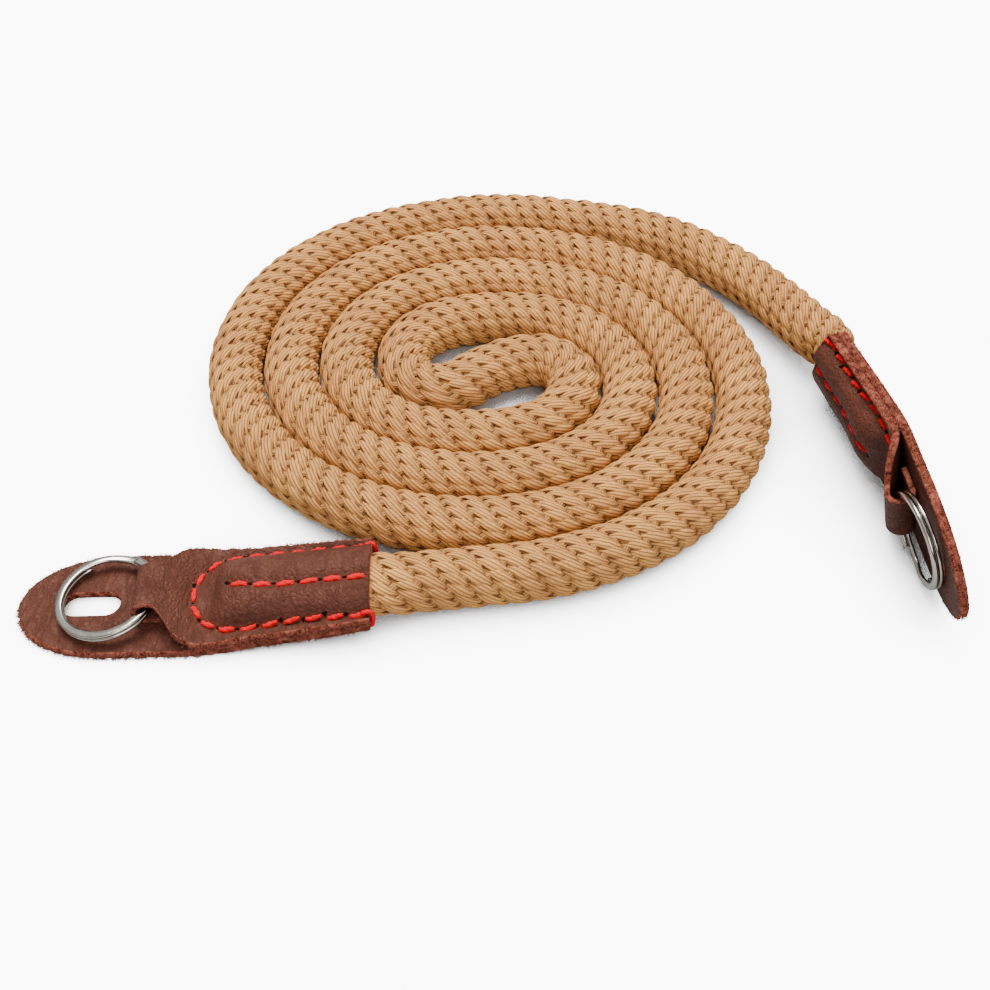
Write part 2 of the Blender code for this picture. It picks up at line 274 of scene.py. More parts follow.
def lofted(rings, across, along):
    """Points, faces and UVs of a closed tube through rings, with its two ends closed."""
    count, sides = rings.shape[:2]
    row = np.arange(count - 1)[:, None] * sides
    here = np.arange(sides)[None, :]
    following = (here + 1) % sides
    corners = (row + here, row + following, row + sides + following, row + sides + here)
    quads = np.stack(corners, axis=-1).reshape(-1, 4)
    u = np.stack([across[:-1], across[1:], across[1:], across[:-1]], axis=-1)
    v = np.stack([along[:-1], along[:-1], along[1:], along[1:]], axis=-1)
    uv = np.stack(np.broadcast_arrays(u[None, :, :], v[:, None, :]), axis=-1).reshape(-1, 2)
    fan = np.arange(1, sides - 1)
    first = np.stack([np.zeros_like(fan), fan + 1, fan], axis=-1)
    last = (count - 1) * sides + np.stack([np.zeros_like(fan), fan, fan + 1], axis=-1)
    caps = np.concatenate([first, last])
    return {"points": rings.reshape(-1, 3), "quads": quads, "uv": uv, "caps": caps}


def mesh_object(name, shapes, materials, paint=None):
    """One smooth object of several lofted shapes. paint gives each quad's material index."""
    points = np.concatenate([shape["points"] for shape in shapes])
    offsets = np.cumsum([0] + [len(shape["points"]) for shape in shapes[:-1]])
    quads = np.concatenate([shape["quads"] + offset for shape, offset in zip(shapes, offsets)])
    caps = np.concatenate([shape["caps"] + offset for shape, offset in zip(shapes, offsets)])
    cap_uv = np.zeros((caps.size, 2))
    uv = np.concatenate([shape["uv"] for shape in shapes] + [cap_uv])
    mesh = bpy.data.meshes.new(name)
    mesh.vertices.add(len(points))
    mesh.vertices.foreach_set("co", points.astype(np.float32).ravel())
    mesh.loops.add(quads.size + caps.size)
    mesh.loops.foreach_set("vertex_index", np.concatenate([quads.ravel(), caps.ravel()]).astype(np.int32))
    mesh.polygons.add(len(quads) + len(caps))
    starts = np.concatenate([np.arange(len(quads)) * 4, quads.size + np.arange(len(caps)) * 3])
    mesh.polygons.foreach_set("loop_start", starts.astype(np.int32))
    mesh.update(calc_edges=True)
    layer = mesh.uv_layers.new(name="thread")
    layer.data.foreach_set("uv", uv.astype(np.float32).ravel())
    for item in materials:
        mesh.materials.append(item)
    if paint is not None:
        index = np.concatenate([paint, np.full(len(caps), 1)]).astype(np.int32)
        mesh.polygons.foreach_set("material_index", index)
    mesh.shade_smooth()
    mesh.validate()
    made = bpy.data.objects.new(name, mesh)
    bpy.context.scene.collection.objects.link(made)
    return made


def wobble(points, size, seed):
    """Smooth pseudo-random values over points in space, from a few summed waves."""
    draw = np.random.RandomState(seed)
    total = np.zeros(len(points))
    for _ in range(6):
        direction = draw.normal(size=3)
        direction *= 2 * math.pi / (size * np.linalg.norm(direction) * draw.uniform(0.7, 1.4))
        total += np.sin(points @ direction + draw.uniform(0, 2 * math.pi))
    return total / 6


# Node groups and materials

def new_group(name, inputs, outputs):
    """Shader node group with named inputs and outputs."""
    group = bpy.data.node_groups.new(name, "ShaderNodeTree")
    for label, kind, value in inputs:
        socket = group.interface.new_socket(name=label, in_out="INPUT", socket_type=kind)
        socket.default_value = value
    for label, kind in outputs:
        group.interface.new_socket(name=label, in_out="OUTPUT", socket_type=kind)
    return group, group.nodes.new("NodeGroupInput"), group.nodes.new("NodeGroupOutput")


class Nodes:
    """Short calls that add and link nodes of one tree."""

    def __init__(self, tree):
        self.tree = tree

    def add(self, kind, **settings):
        node = self.tree.nodes.new(kind)
        for key, value in settings.items():
            setattr(node, key, value)
        return node

    def put(self, socket, value):
        if hasattr(value, "is_output"):
            self.tree.links.new(value, socket)
        else:
            socket.default_value = value

    def maths(self, operation, first, second=0.0, clamp=False):
        node = self.add("ShaderNodeMath", operation=operation, use_clamp=clamp)
        self.put(node.inputs[0], first)
        self.put(node.inputs[1], second)
        return node.outputs[0]

    def noise(self, place, scale, detail=2.0, roughness=0.5, stretch=None):
        if stretch:
            mapping = self.add("ShaderNodeMapping")
            self.put(mapping.inputs["Vector"], place)
            mapping.inputs["Scale"].default_value = stretch
            place = mapping.outputs[0]
        node = self.add("ShaderNodeTexNoise")
        self.put(node.inputs["Vector"], place)
        node.inputs["Scale"].default_value = scale
        node.inputs["Detail"].default_value = detail
        node.inputs["Roughness"].default_value = roughness
        return node.outputs["Fac"]

    def blend(self, share, first, second, how="MIX"):
        node = self.add("ShaderNodeMix", data_type="RGBA", blend_type=how)
        self.put(node.inputs[0], share)
        self.put(node.inputs[6], first)
        self.put(node.inputs[7], second)
        return node.outputs[2]

    def spread(self, value, low, high, to_low=0.0, to_high=1.0):
        node = self.add("ShaderNodeMapRange")
        self.put(node.inputs[0], value)
        for i, number in enumerate((low, high, to_low, to_high)):
            node.inputs[i + 1].default_value = number
        return node.outputs[0]

    def bump(self, height, distance, strength=1.0):
        node = self.add("ShaderNodeBump")
        node.inputs["Strength"].default_value = strength
        node.inputs["Distance"].default_value = distance
        self.put(node.inputs["Height"], height)
        return node.outputs[0]


def yarn_group():
    """Parallel yarns along a strand: height, and a mask of the grooves between them."""
    found = bpy.data.node_groups.get("yarn")
    if found:
        return found
    inputs = (
        ("Across", "NodeSocketFloat", 0.0),
        ("Along", "NodeSocketFloat", 0.0),
        ("Yarns", "NodeSocketFloat", 4.0),
        ("Twist", "NodeSocketFloat", 0.0),
    )
    group, source, result = new_group("yarn", inputs, (("Height", "NodeSocketFloat"), ("Groove", "NodeSocketFloat")))
    n = Nodes(group)
    geometry = n.add("ShaderNodeTexCoord")
    jitter = n.maths("MULTIPLY", n.noise(geometry.outputs["Object"], 900.0), 0.35)
    turned = n.maths("MULTIPLY", source.outputs["Along"], source.outputs["Twist"])
    place = n.maths("ADD", n.maths("MULTIPLY", source.outputs["Across"], source.outputs["Yarns"]), turned)
    place = n.maths("ADD", place, jitter)
    wave = n.maths("ABSOLUTE", n.maths("SINE", n.maths("MULTIPLY", place, math.pi)))
    height = n.maths("POWER", wave, 0.6)
    groove = n.spread(height, 0.35, 0.85, 1.0, 0.0)
    n.put(result.inputs["Height"], height)
    n.put(result.inputs["Groove"], groove)
    return group


def new_material(name):
    """Material with its Principled shader and the node helper."""
    made = bpy.data.materials.new(name)
    made.use_nodes = True
    return made, Nodes(made.node_tree), made.node_tree.nodes["Principled BSDF"]


def rope_material(name, settings, depth, shade):
    """Cotton strands: yarns by the UV map, with painted shade where a strand dives under its neighbours, along its
    edges and in the grooves between yarns and plies.
    """
    made, n, shader = new_material(name)
    place = n.add("ShaderNodeTexCoord")
    uv = n.add("ShaderNodeUVMap", uv_map="thread")
    split = n.add("ShaderNodeSeparateXYZ")
    n.put(split.inputs[0], uv.outputs[0])
    yarn = n.add("ShaderNodeGroup")
    yarn.node_tree = yarn_group()
    n.put(yarn.inputs["Across"], split.outputs[0])
    n.put(yarn.inputs["Along"], split.outputs[1])
    yarn.inputs["Yarns"].default_value = 4.0
    yarn.inputs["Twist"].default_value = 0.55
    ply = n.add("ShaderNodeGroup")
    ply.node_tree = yarn_group()
    n.put(ply.inputs["Across"], split.outputs[0])
    n.put(ply.inputs["Along"], split.outputs[1])
    ply.inputs["Yarns"].default_value = 7.0
    ply.inputs["Twist"].default_value = 19.0
    phase = n.maths("MULTIPLY", split.outputs[1], 2 * math.pi)
    dive = n.spread(n.maths("COSINE", phase), -0.95, -0.25, 1.0, 0.0)
    fibre = n.noise(place.outputs["Object"], 2600.0, 3.0, 0.6)
    patch = n.noise(place.outputs["Object"], 160.0, 2.0, 0.5)
    colour = n.blend(n.spread(patch, 0.3, 0.7), tuple(settings.rope_colour), tuple(settings.rope_light))
    # Even painted shade over the whole strand, by the shade argument, for strands that lie under the floats
    colour = n.blend(shade, colour, tuple(settings.rope_shade_and_fleck))
    from_middle = n.maths("ABSOLUTE", n.maths("SUBTRACT", split.outputs[0], 0.5))
    # Painted shade along the strand's two edges: thin dark outlines between neighbouring strands
    colour = n.blend(n.spread(from_middle, 0.32, 0.5, 0.0, 0.85), colour, tuple(settings.rope_shade_and_fleck))
    # Painted shade in the grooves between the yarns and between the plies
    colour = n.blend(n.maths("MULTIPLY", yarn.outputs["Groove"], 0.72), colour, tuple(settings.rope_shade_and_fleck))
    colour = n.blend(n.maths("MULTIPLY", ply.outputs["Groove"], 0.34), colour, tuple(settings.rope_shade_and_fleck))
    # Painted shade where the strand dives under its neighbours, as strong as depth
    colour = n.blend(n.maths("MULTIPLY", dive, depth), colour, tuple(settings.rope_shade_and_fleck))
    colour = n.blend(n.spread(fibre, 0.35, 0.7, 0.0, 0.3), colour, tuple(settings.rope_shade_and_fleck))
    n.put(shader.inputs["Base Color"], colour)
    shader.inputs["Roughness"].default_value = 0.8
    shader.inputs["Specular IOR Level"].default_value = 0.1
    height = n.maths("ADD", yarn.outputs["Height"], n.maths("MULTIPLY", ply.outputs["Height"], 0.4))
    height = n.maths("ADD", height, n.maths("MULTIPLY", fibre, 0.3))
    n.put(shader.inputs["Normal"], n.bump(height, 0.00021, 1.0))
    return made


def leather_material(name, settings):
    """Smooth brown leather with fine grain, small creases and uneven colour; the creases are also painted a little
    darker as shade.
    """
    made, n, shader = new_material(name)
    place = n.add("ShaderNodeTexCoord").outputs["Object"]
    cloud = n.noise(place, 130.0, 4.0, 0.6)
    fine = n.noise(place, 1100.0, 4.0, 0.65, (1.0, 0.55, 1.0))
    cells = n.add("ShaderNodeTexVoronoi", feature="DISTANCE_TO_EDGE")
    n.put(cells.inputs["Vector"], place)
    cells.inputs["Scale"].default_value = 1200.0
    crease = n.noise(place, 420.0, 5.0, 0.7, (1.0, 0.35, 1.0))
    lines = n.spread(n.maths("ABSOLUTE", n.maths("SUBTRACT", crease, 0.5)), 0.0, 0.045, 1.0, 0.0)
    colour = n.blend(n.spread(cloud, 0.35, 0.68), tuple(settings.leather_colour), tuple(settings.leather_light))
    colour = n.blend(n.spread(fine, 0.45, 0.7, 0.0, 0.28), colour, tuple(settings.leather_dark))
    # Painted shade in the crease lines
    colour = n.blend(n.maths("MULTIPLY", lines, 0.18), colour, tuple(settings.leather_dark))
    n.put(shader.inputs["Base Color"], colour)
    n.put(shader.inputs["Roughness"], n.spread(fine, 0.3, 0.75, 0.5, 0.68))
    shader.inputs["Specular IOR Level"].default_value = 0.16
    grain = n.maths("MULTIPLY", n.spread(cells.outputs["Distance"], 0.0, 0.25), 0.6)
    height = n.maths("ADD", grain, n.maths("MULTIPLY", fine, 0.5))
    height = n.maths("SUBTRACT", height, n.maths("MULTIPLY", lines, 0.5))
    n.put(shader.inputs["Normal"], n.bump(height, 0.00018, 0.95))
    return made


def raw_edge_material(name, settings):
    """Cut edge of the leather: reddish, rough and fibrous."""
    made, n, shader = new_material(name)
    place = n.add("ShaderNodeTexCoord").outputs["Object"]
    fibre = n.noise(place, 2600.0, 4.0, 0.75)
    tuft = n.noise(place, 700.0, 3.0, 0.6)
    colour = n.blend(n.spread(fibre, 0.4, 0.6), tuple(settings.leather_dark), tuple(settings.edge_colour))
    colour = n.blend(n.spread(tuft, 0.45, 0.65, 0.0, 0.7), colour, tuple(settings.edge_light))
    n.put(shader.inputs["Base Color"], colour)
    shader.inputs["Roughness"].default_value = 0.95
    shader.inputs["Specular IOR Level"].default_value = 0.05
    height = n.maths("ADD", fibre, tuft)
    n.put(shader.inputs["Normal"], n.bump(height, 0.0005, 1.0))
    return made


def fibre_material(name, settings):
    """Loose fibres of the cut edges, in the same reds."""
    made, n, shader = new_material(name)
    place = n.add("ShaderNodeTexCoord").outputs["Object"]
    tuft = n.noise(place, 900.0, 2.0)
    n.put(shader.inputs["Base Color"], n.blend(tuft, tuple(settings.leather_light), tuple(settings.edge_light)))
    shader.inputs["Roughness"].default_value = 0.95
    shader.inputs["Specular IOR Level"].default_value = 0.05
    return made


def thread_material(name, settings):
    """Bright waxed thread with two twisted plies, with painted shade in the grooves between them."""
    made, n, shader = new_material(name)
    place = n.add("ShaderNodeTexCoord").outputs["Object"]
    uv = n.add("ShaderNodeUVMap", uv_map="thread")
    split = n.add("ShaderNodeSeparateXYZ")
    n.put(split.inputs[0], uv.outputs[0])
    yarn = n.add("ShaderNodeGroup")
    yarn.node_tree = yarn_group()
    n.put(yarn.inputs["Across"], split.outputs[0])
    n.put(yarn.inputs["Along"], split.outputs[1])
    yarn.inputs["Yarns"].default_value = 6.0
    yarn.inputs["Twist"].default_value = 6.0
    fibre = n.noise(place, 3500.0, 2.0)
    # Painted shade in the grooves between the thread's plies
    groove = n.maths("MULTIPLY", yarn.outputs["Groove"], 0.85)
    colour = n.blend(groove, tuple(settings.thread_colour), tuple(settings.thread_groove_shade))
    colour = n.blend(n.spread(fibre, 0.45, 0.75, 0.0, 0.4), colour, tuple(settings.thread_light))
    n.put(shader.inputs["Base Color"], colour)
    shader.inputs["Roughness"].default_value = 0.6
    shader.inputs["Specular IOR Level"].default_value = 0.08
    n.put(shader.inputs["Normal"], n.bump(yarn.outputs["Height"], 0.00008, 0.8))
    return made


def hole_shade_material(name):
    """Near-black painted shade for the inside of an awl hole."""
    made, n, shader = new_material(name)
    place = n.add("ShaderNodeTexCoord").outputs["Object"]
    fibre = n.noise(place, 2500.0, 2.0)
    colour = n.blend(fibre, (0.004, 0.0015, 0.001, 1.0), (0.02, 0.006, 0.004, 1.0))
    n.put(shader.inputs["Base Color"], colour)
    shader.inputs["Roughness"].default_value = 1.0
    shader.inputs["Specular IOR Level"].default_value = 0.0
    return made


def metal_material(name, settings):
    """Polished nickel with faint tumbling marks."""
    made, n, shader = new_material(name)
    place = n.add("ShaderNodeTexCoord").outputs["Object"]
    cloud = n.noise(place, 260.0, 3.0, 0.6)
    scratch = n.noise(place, 900.0, 4.0, 0.7, (1.0, 5.0, 1.0))
    colour = n.blend(n.spread(cloud, 0.35, 0.7), tuple(settings.nickel_colour), tuple(settings.nickel_dark))
    n.put(shader.inputs["Base Color"], colour)
    shader.inputs["Metallic"].default_value = 1.0
    n.put(shader.inputs["Roughness"], n.spread(scratch, 0.3, 0.7, 0.08, 0.2))
    n.put(shader.inputs["Normal"], n.bump(scratch, 0.00002, 0.5))
    return made


# Placement of the two leather ends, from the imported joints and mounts

def end_placement(side):
    """Matrix of a leather end: origin at its mouth, X towards the tab, Z out of the front leaf."""
    joint = next(item for item in frame["joints"] if item["name"] == side + "_ring_swing")
    mount = next(item for item in frame["record"]["mounts"] if item["name"] == side + "_tab_face")
    y = -Vector(joint["axis"]).normalized()
    z = -Vector(mount["axis"]).normalized()
    x = y.cross(z).normalized()
    origin = Vector(joint["pos_m"]) - x * PIVOT_FROM_MOUTH - z * PIVOT_LEVEL
    turn = Matrix((x, y, z)).transposed().to_4x4()
    return Matrix.Translation(origin) @ turn


def placed(matrix, points):
    """Points of an end's own frame, taken to the object's frame."""
    turn = np.array(matrix.to_3x3())
    return points @ turn.T + np.array(matrix.translation)


def sewn_on(matrix, rings, across, along):
    """A lofted shape on a leather end, pressed flat where it would go under the floor."""
    points = placed(matrix, rings.reshape(-1, 3)).reshape(rings.shape)
    points[..., 2] = np.maximum(points[..., 2], FLOOR_GAP)
    return lofted(points, across, along)


# The rope's centre line

def coil_arm(start):
    """Points of one arm of the coil, from the middle outwards."""
    turned = COIL_STEP * np.arange(1, COIL_ARM_STEPS + 1)
    angle = start - turned
    oval = COIL_CORE_OVAL * np.cos(2 * (angle - COIL_OVAL_TILT))
    pitch = COIL_PITCH + COIL_FAR_SLACK * np.sin(angle)
    radius = COIL_CORE_RADIUS + oval + pitch * turned / math.pi
    level = np.full_like(angle, 5.0 * MM)
    return [tuple(row) for row in np.stack([radius * np.cos(angle), radius * np.sin(angle), level], axis=1)]


def rope_route():
    """Points that the rope's centre passes through, from the left mouth to the right one."""
    centre = Vector((*COIL_CENTRE, 0.0))
    on_plan = list(reversed(LEFT_TAIL_ROUTE)) + list(reversed(coil_arm(math.pi)))
    on_plan += [(x, y, 5.0 * MM) for x, y in MIDDLE_ROUTE]
    on_plan += coil_arm(0.0) + list(RIGHT_TAIL_ROUTE)
    mouth = Vector((-MOUTH_GAP, 0.0, SEAM_AT_MOUTH))
    straight = Vector((-STRAIGHT_BEFORE_MOUTH, 0.0, SEAM_AT_MOUTH))
    left, right = (end_placement(side) for side in SIDES)
    route = [left @ mouth, left @ straight]
    route += [Vector(point) + centre for point in on_plan]
    return route + [right @ straight, right @ mouth]


class RopeLine:
    """The rope's centre line with a frame at any distance along it, and its flattening at the mouths."""

    def __init__(self, settings):
        self.line = even_line(rope_route(), 0.4 * MM)
        steps = np.linalg.norm(np.diff(self.line, axis=0), axis=1)
        self.run = np.concatenate([[0.0], np.cumsum(steps)])
        self.length = float(self.run[-1])
        self.settings = settings
        self.ends = [end_placement(side) for side in SIDES]

    def frames(self, distance):
        """Centre, direction, side and up vectors at distances along the rope."""
        inside = np.clip(distance, 0.0, self.length)
        centre = np.stack([np.interp(inside, self.run, self.line[:, axis]) for axis in range(3)], axis=1)
        gap = 0.6 * MM
        ahead = np.clip(inside + gap, 0.0, self.length)
        behind = np.clip(inside - gap, 0.0, self.length)
        direction = np.stack([
            np.interp(ahead, self.run, self.line[:, axis]) - np.interp(behind, self.run, self.line[:, axis])
            for axis in range(3)
        ], axis=1)
        direction /= np.linalg.norm(direction, axis=1)[:, None]
        centre = centre + direction * (distance - inside)[:, None]
        side = np.cross((0.0, 0.0, 1.0), direction)
        side /= np.linalg.norm(side, axis=1)[:, None]
        return centre, direction, side, np.cross(direction, side)

    def settle(self, points, centre, distance):
        """Flatten a surface point's offset where the leather pinches the rope, and keep it off the floor."""
        offset = points - centre
        for matrix, from_end in zip(self.ends, (distance, self.length - distance)):
            reach = self.settings.pinch_length
            share = np.clip(1.0 - from_end / reach, 0.0, 1.0)
            share = share * share * (3 - 2 * share)
            turn = np.array(matrix.to_3x3())
            for axis, pinched in ((turn[:, 1], self.settings.pinch_width), (turn[:, 2], self.settings.pinch_height)):
                part = offset @ axis
                offset = offset + ((pinched - 1.0) * share * part)[:, None] * axis
        settled = centre + offset
        settled[:, 2] = np.maximum(settled[:, 2], FLOOR_GAP)
        return settled


# Strands of the braid

STRAND_SECTION = (
    # across, outwards, yarn place
    (1.00, -0.15, 0.00),
    (0.70, 0.66, 0.20),
    (0.00, 1.00, 0.50),
    (-0.70, 0.66, 0.80),
    (-1.00, -0.15, 1.00),
    (0.00, -0.90, 1.50),
)
CROSS_SECTION = (
    (1.00, 0.00, 0.00),
    (0.00, 1.00, 0.50),
    (-1.00, 0.00, 1.00),
    (0.00, -0.90, 1.50),
)


def strand_shape(rope, section, distance, angle, phase, radius, half_width, half_height, slope):
    """One strand: a thin tube laid round the rope at an angle, with its section's long side on the rope."""
    centre, direction, side, up = rope.frames(distance)
    outwards = side * np.cos(angle)[:, None] + up * np.sin(angle)[:, None]
    round_rope = -side * np.sin(angle)[:, None] + up * np.cos(angle)[:, None]
    run = direction + round_rope * slope
    run /= np.linalg.norm(run, axis=1)[:, None]
    across = np.cross(outwards, run)
    middle = centre + outwards * radius[:, None]
    rings = []
    for a, b, _ in section:
        point = middle + across * (a * half_width)[:, None] + outwards * (b * half_height)[:, None]
        rings.append(rope.settle(point, centre, distance))
    yarn_places = np.array([row[2] for row in section] + [2.0])
    return lofted(np.stack(rings, axis=1), yarn_places, phase)


def long_strand(rope, settings, number):
    """One of the long strands, whose floats make the braid's main pattern."""
    pitch = settings.float_pitch
    shift = LATTICE_TURNS * pitch / WALES
    period = LONG_STRANDS * pitch / WALES
    start = number * shift
    inside = settings.strand_overrun
    count = int(round((rope.length + 2 * inside) / period * settings.float_samples))
    distance = np.linspace(-inside, rope.length + inside, count + 1)
    phase = (distance - start) / period
    angle = 2 * math.pi / WALES * (number + 2 * phase)
    sunk = (1 - np.cos(2 * math.pi * phase)) / 2
    draw = np.random.RandomState(100 + number)
    loose = np.interp(phase, np.arange(-6, len(phase)), draw.normal(0.0, 1.0, len(phase) + 6))
    radius = settings.rope_diameter / 2 - settings.strand_height - settings.strand_dive * sunk ** 1.4
    radius = radius + 0.06 * MM * np.clip(loose, -2.0, 1.0)
    angle = angle + 0.018 * loose
    width = settings.strand_width * (1.0 - settings.strand_taper * sunk ** 0.8) * (1 + 0.06 * loose)
    height = np.full_like(width, settings.strand_height)
    slope = 2 * math.pi / WALES * 2 / period * settings.rope_diameter / 2
    return strand_shape(rope, STRAND_SECTION, distance, angle, phase, radius, width, height, slope)


def cross_strand(rope, settings, number):
    """One of the cross strands, seen as small patches between the floats' ends."""
    pitch = settings.float_pitch
    shift = LATTICE_TURNS * pitch / WALES
    period = CROSS_STRANDS * pitch / WALES
    start = LONG_STRANDS * pitch / WALES / 2 + number * shift
    inside = settings.strand_overrun
    count = int(round((rope.length + 2 * inside) / period * settings.cross_samples))
    distance = np.linspace(-inside, rope.length + inside, count + 1)
    phase = (distance - start) / period
    angle = 2 * math.pi / WALES * (1 + number - phase)
    sunk = (1 - np.cos(2 * math.pi * phase)) / 2
    radius = settings.rope_diameter / 2 - settings.cross_depth - settings.cross_dive * sunk
    width = np.full_like(radius, settings.cross_width)
    height = np.full_like(radius, settings.strand_height * 0.85)
    slope = -2 * math.pi / WALES / period * settings.rope_diameter / 2
    return strand_shape(rope, CROSS_SECTION, distance, angle, phase, radius, width, height, slope)


def core_shape(rope, settings):
    """Plain core that fills the rope under its strands."""
    distance = np.arange(0.0, rope.length, 1.5 * MM)
    distance = np.append(distance, rope.length)
    centre, _, side, up = rope.frames(distance)
    rings = []
    sides = 16
    for i in range(sides):
        angle = 2 * math.pi * i / sides
        point = centre + (side * math.cos(angle) + up * math.sin(angle)) * settings.core_radius
        rings.append(rope.settle(point, centre, distance))
    return lofted(np.stack(rings, axis=1), np.linspace(0, 8, sides + 1), distance / settings.float_pitch)


# Leaves of the leather ends

def half_width_at(x):
    return END_WIDTH / 2 * smooth_table(OUTLINE, np.asarray(x) / END_LENGTH)


def seam_at(x):
    share = smooth_table(SEAM, np.asarray(x) / ROPE_IN_LEATHER)
    return TAB_SEAM + (SEAM_AT_MOUTH - TAB_SEAM) * share


def dome_depths(x):
    """Depth of the rope's hollow above the seam and below it."""
    size = smooth_table(DOME, np.asarray(x) / ROPE_IN_LEATHER)
    hollow = (SQUASHED_HEIGHT + 2 * CLEARANCE) * size
    below = np.minimum(BACK_BULGE_SHARE * hollow, seam_at(x) - CLEARANCE / 2 - LEATHER)
    return hollow - below, below


def dome_profile(y, reach):
    """Height of the dome across the strap, as a share of its full height, with a soft foot."""
    inside = np.clip(1 - (np.abs(y) / reach) ** 2.3, 0.0, 1.0)
    return inside ** 0.72


def middle_groove(x, y):
    """Depth of the groove that the middle stitches pull into the dome."""
    path_x = np.array([row[0] for row in MIDDLE_STITCHES])
    path_y = np.array([row[1] for row in MIDDLE_STITCHES])
    away = y - np.interp(x, path_x, path_y)
    end = np.clip((path_x[-1] + 1.0 * MM - x) / (1.5 * MM), 0.0, 1.0)
    return 0.85 * MM * np.exp(-(away / (1.05 * MM)) ** 2) * end


def rim_groove(x, y):
    """Depth of the shallow dent along the outer row of stitches."""
    line = even_line([(px, py) for px, py in RIM_STITCHES], 1.0 * MM)
    away = np.min(np.hypot(x[..., None] - line[:, 0], y[..., None] - line[:, 1]), axis=-1)
    return 0.7 * MM * np.exp(-(away / (0.9 * MM)) ** 2)


def front_line():
    """Sections of the front leaf: place, level, tilt, thickness, half width and dome depth."""
    start = DOME[-1][0] * ROPE_IN_LEATHER
    radius = LOOP_BORE + NECK_LEATHER / 2
    rows = []
    for x in np.linspace(0.0, start, 55):
        level = seam_at(x) + CLEARANCE / 2 + LEATHER / 2
        rows.append((x, level, 0.0, LEATHER, half_width_at(x), dome_depths(x)[0]))
    level = rows[-1][1]
    for share in np.linspace(0.0, 1.0, 25)[1:]:
        x = start + (PIVOT_FROM_MOUTH - start) * share
        full = half_width_at(x)
        half_width = full + (NECK_WIDTH / 2 - full) * smooth_table(SHOULDER, share, 1)
        rise = smooth_table(SHOULDER, share, 2)
        thickness = LEATHER + (NECK_LEATHER - LEATHER) * share
        rows.append((x, level + (PIVOT_LEVEL + radius - level) * rise, 0.0, thickness, half_width, 0.0))
    for turned in np.linspace(0.0, math.pi, 19)[1:]:
        x = PIVOT_FROM_MOUTH + radius * math.sin(turned)
        z = PIVOT_LEVEL + radius * math.cos(turned)
        rows.append((x, z, turned, NECK_LEATHER, NECK_WIDTH / 2, 0.0))
    for share in np.linspace(0.0, 1.0, 9)[1:]:
        rows.append((PIVOT_FROM_MOUTH - FLAP_LENGTH * share, PIVOT_LEVEL - radius, math.pi, NECK_LEATHER,
                     NECK_WIDTH / 2, 0.0))
    return np.array([[float(value) for value in row] for row in rows])


def back_line():
    """Sections of the back leaf, in the same columns, its outer face downwards."""
    places = np.concatenate([np.linspace(0.0, 0.96, 110), np.linspace(0.965, 1.0, 14)]) * END_LENGTH
    rows = []
    for x in places:
        level = seam_at(x) - CLEARANCE / 2 - LEATHER / 2
        rows.append((x, level, 0.0, LEATHER, half_width_at(x), dome_depths(x)[1]))
    return np.array([[float(value) for value in row] for row in rows])


LEAF_COLUMNS = 44
RIM_STEPS = 5
BACK_DENT_SHARE = 0.6
FIBRES_IN_TUFT = 6
TUFT_SPREAD = 0.13 * MM
# The front leaf has no loose fibres this near the pivot, where the ring swings
RING_SWEEP = 4.5 * MM


def leaf_rings(rows, side):
    """Rings of a leaf: its upper face from +y to -y, a rounded rim, its lower face back, and the other rim."""
    x, level, turned, thickness, half_width, depth = (rows[:, i, None] for i in range(6))
    rim = np.minimum(0.14 * thickness, 0.4 * half_width)
    flat = half_width - rim
    share = np.linspace(1.0, -1.0, LEAF_COLUMNS)[None, :]
    y = flat * share
    inner_reach = SQUASHED_WIDTH / 2 + CLEARANCE
    outer_reach = inner_reach + 0.75 * LEATHER
    outer = thickness / 2 + depth * dome_profile(y, outer_reach)
    joined = np.clip((ROPE_IN_LEATHER - x) / (2 * MM), 0.0, 1.0) * (turned == 0.0)
    inner = -thickness / 2 + depth * dome_profile(y, inner_reach) - 0.45 * CLEARANCE * joined
    dent = middle_groove(x, y) + rim_groove(x + 0 * y, y)
    outer = outer - np.where(turned == 0.0, dent, 0.0) * (1.0 if side > 0 else BACK_DENT_SHARE)
    swell = np.linspace(math.pi / 2, -math.pi / 2, RIM_STEPS + 2)[1:-1]
    curl = np.cos(swell)[None, :] ** 0.3
    lift = np.sin(swell)[None, :]
    far_y = -(flat + rim * curl)
    near_y = flat + rim * curl[:, ::-1]
    far_off = thickness / 2 * lift
    near_off = thickness / 2 * lift[:, ::-1]
    if side > 0:
        columns = (y, far_y, y[:, ::-1], near_y)
        offsets = (outer, far_off, inner[:, ::-1], near_off)
        base = level
    else:
        columns = (y, far_y, y[:, ::-1], near_y)
        offsets = (-inner, far_off, -outer[:, ::-1], near_off)
        base = level
    across = np.concatenate(columns, axis=1)
    shift = np.concatenate(offsets, axis=1)
    points = np.stack([
        x + np.sin(turned) * shift,
        across,
        base + np.cos(turned) * shift,
    ], axis=-1)
    paint = np.zeros(points.shape[1], dtype=int)
    paint[LEAF_COLUMNS - 1:LEAF_COLUMNS + RIM_STEPS] = 1
    paint[2 * LEAF_COLUMNS + RIM_STEPS - 1:] = 1
    return points, paint


def roughen(points, paint, seed):
    """Give a leaf an uneven hand-cut edge and faint waves on its faces."""
    flat = points.reshape(-1, 3)
    fine = wobble(flat, 1.0 * MM, seed).reshape(points.shape[:2])
    broad = wobble(flat, 9.0 * MM, seed + 1).reshape(points.shape[:2])
    on_rim = np.zeros(points.shape[1])
    on_rim[LEAF_COLUMNS:LEAF_COLUMNS + RIM_STEPS] = 1.0
    on_rim[2 * LEAF_COLUMNS + RIM_STEPS:] = 1.0
    sign = np.sign(points[:, :, 1])
    points[:, :, 1] += sign * on_rim * fine * 0.2 * MM
    points[:, :, 1] += broad * 0.12 * MM
    points[:, :, 2] += on_rim * fine * 0.05 * MM
    return points


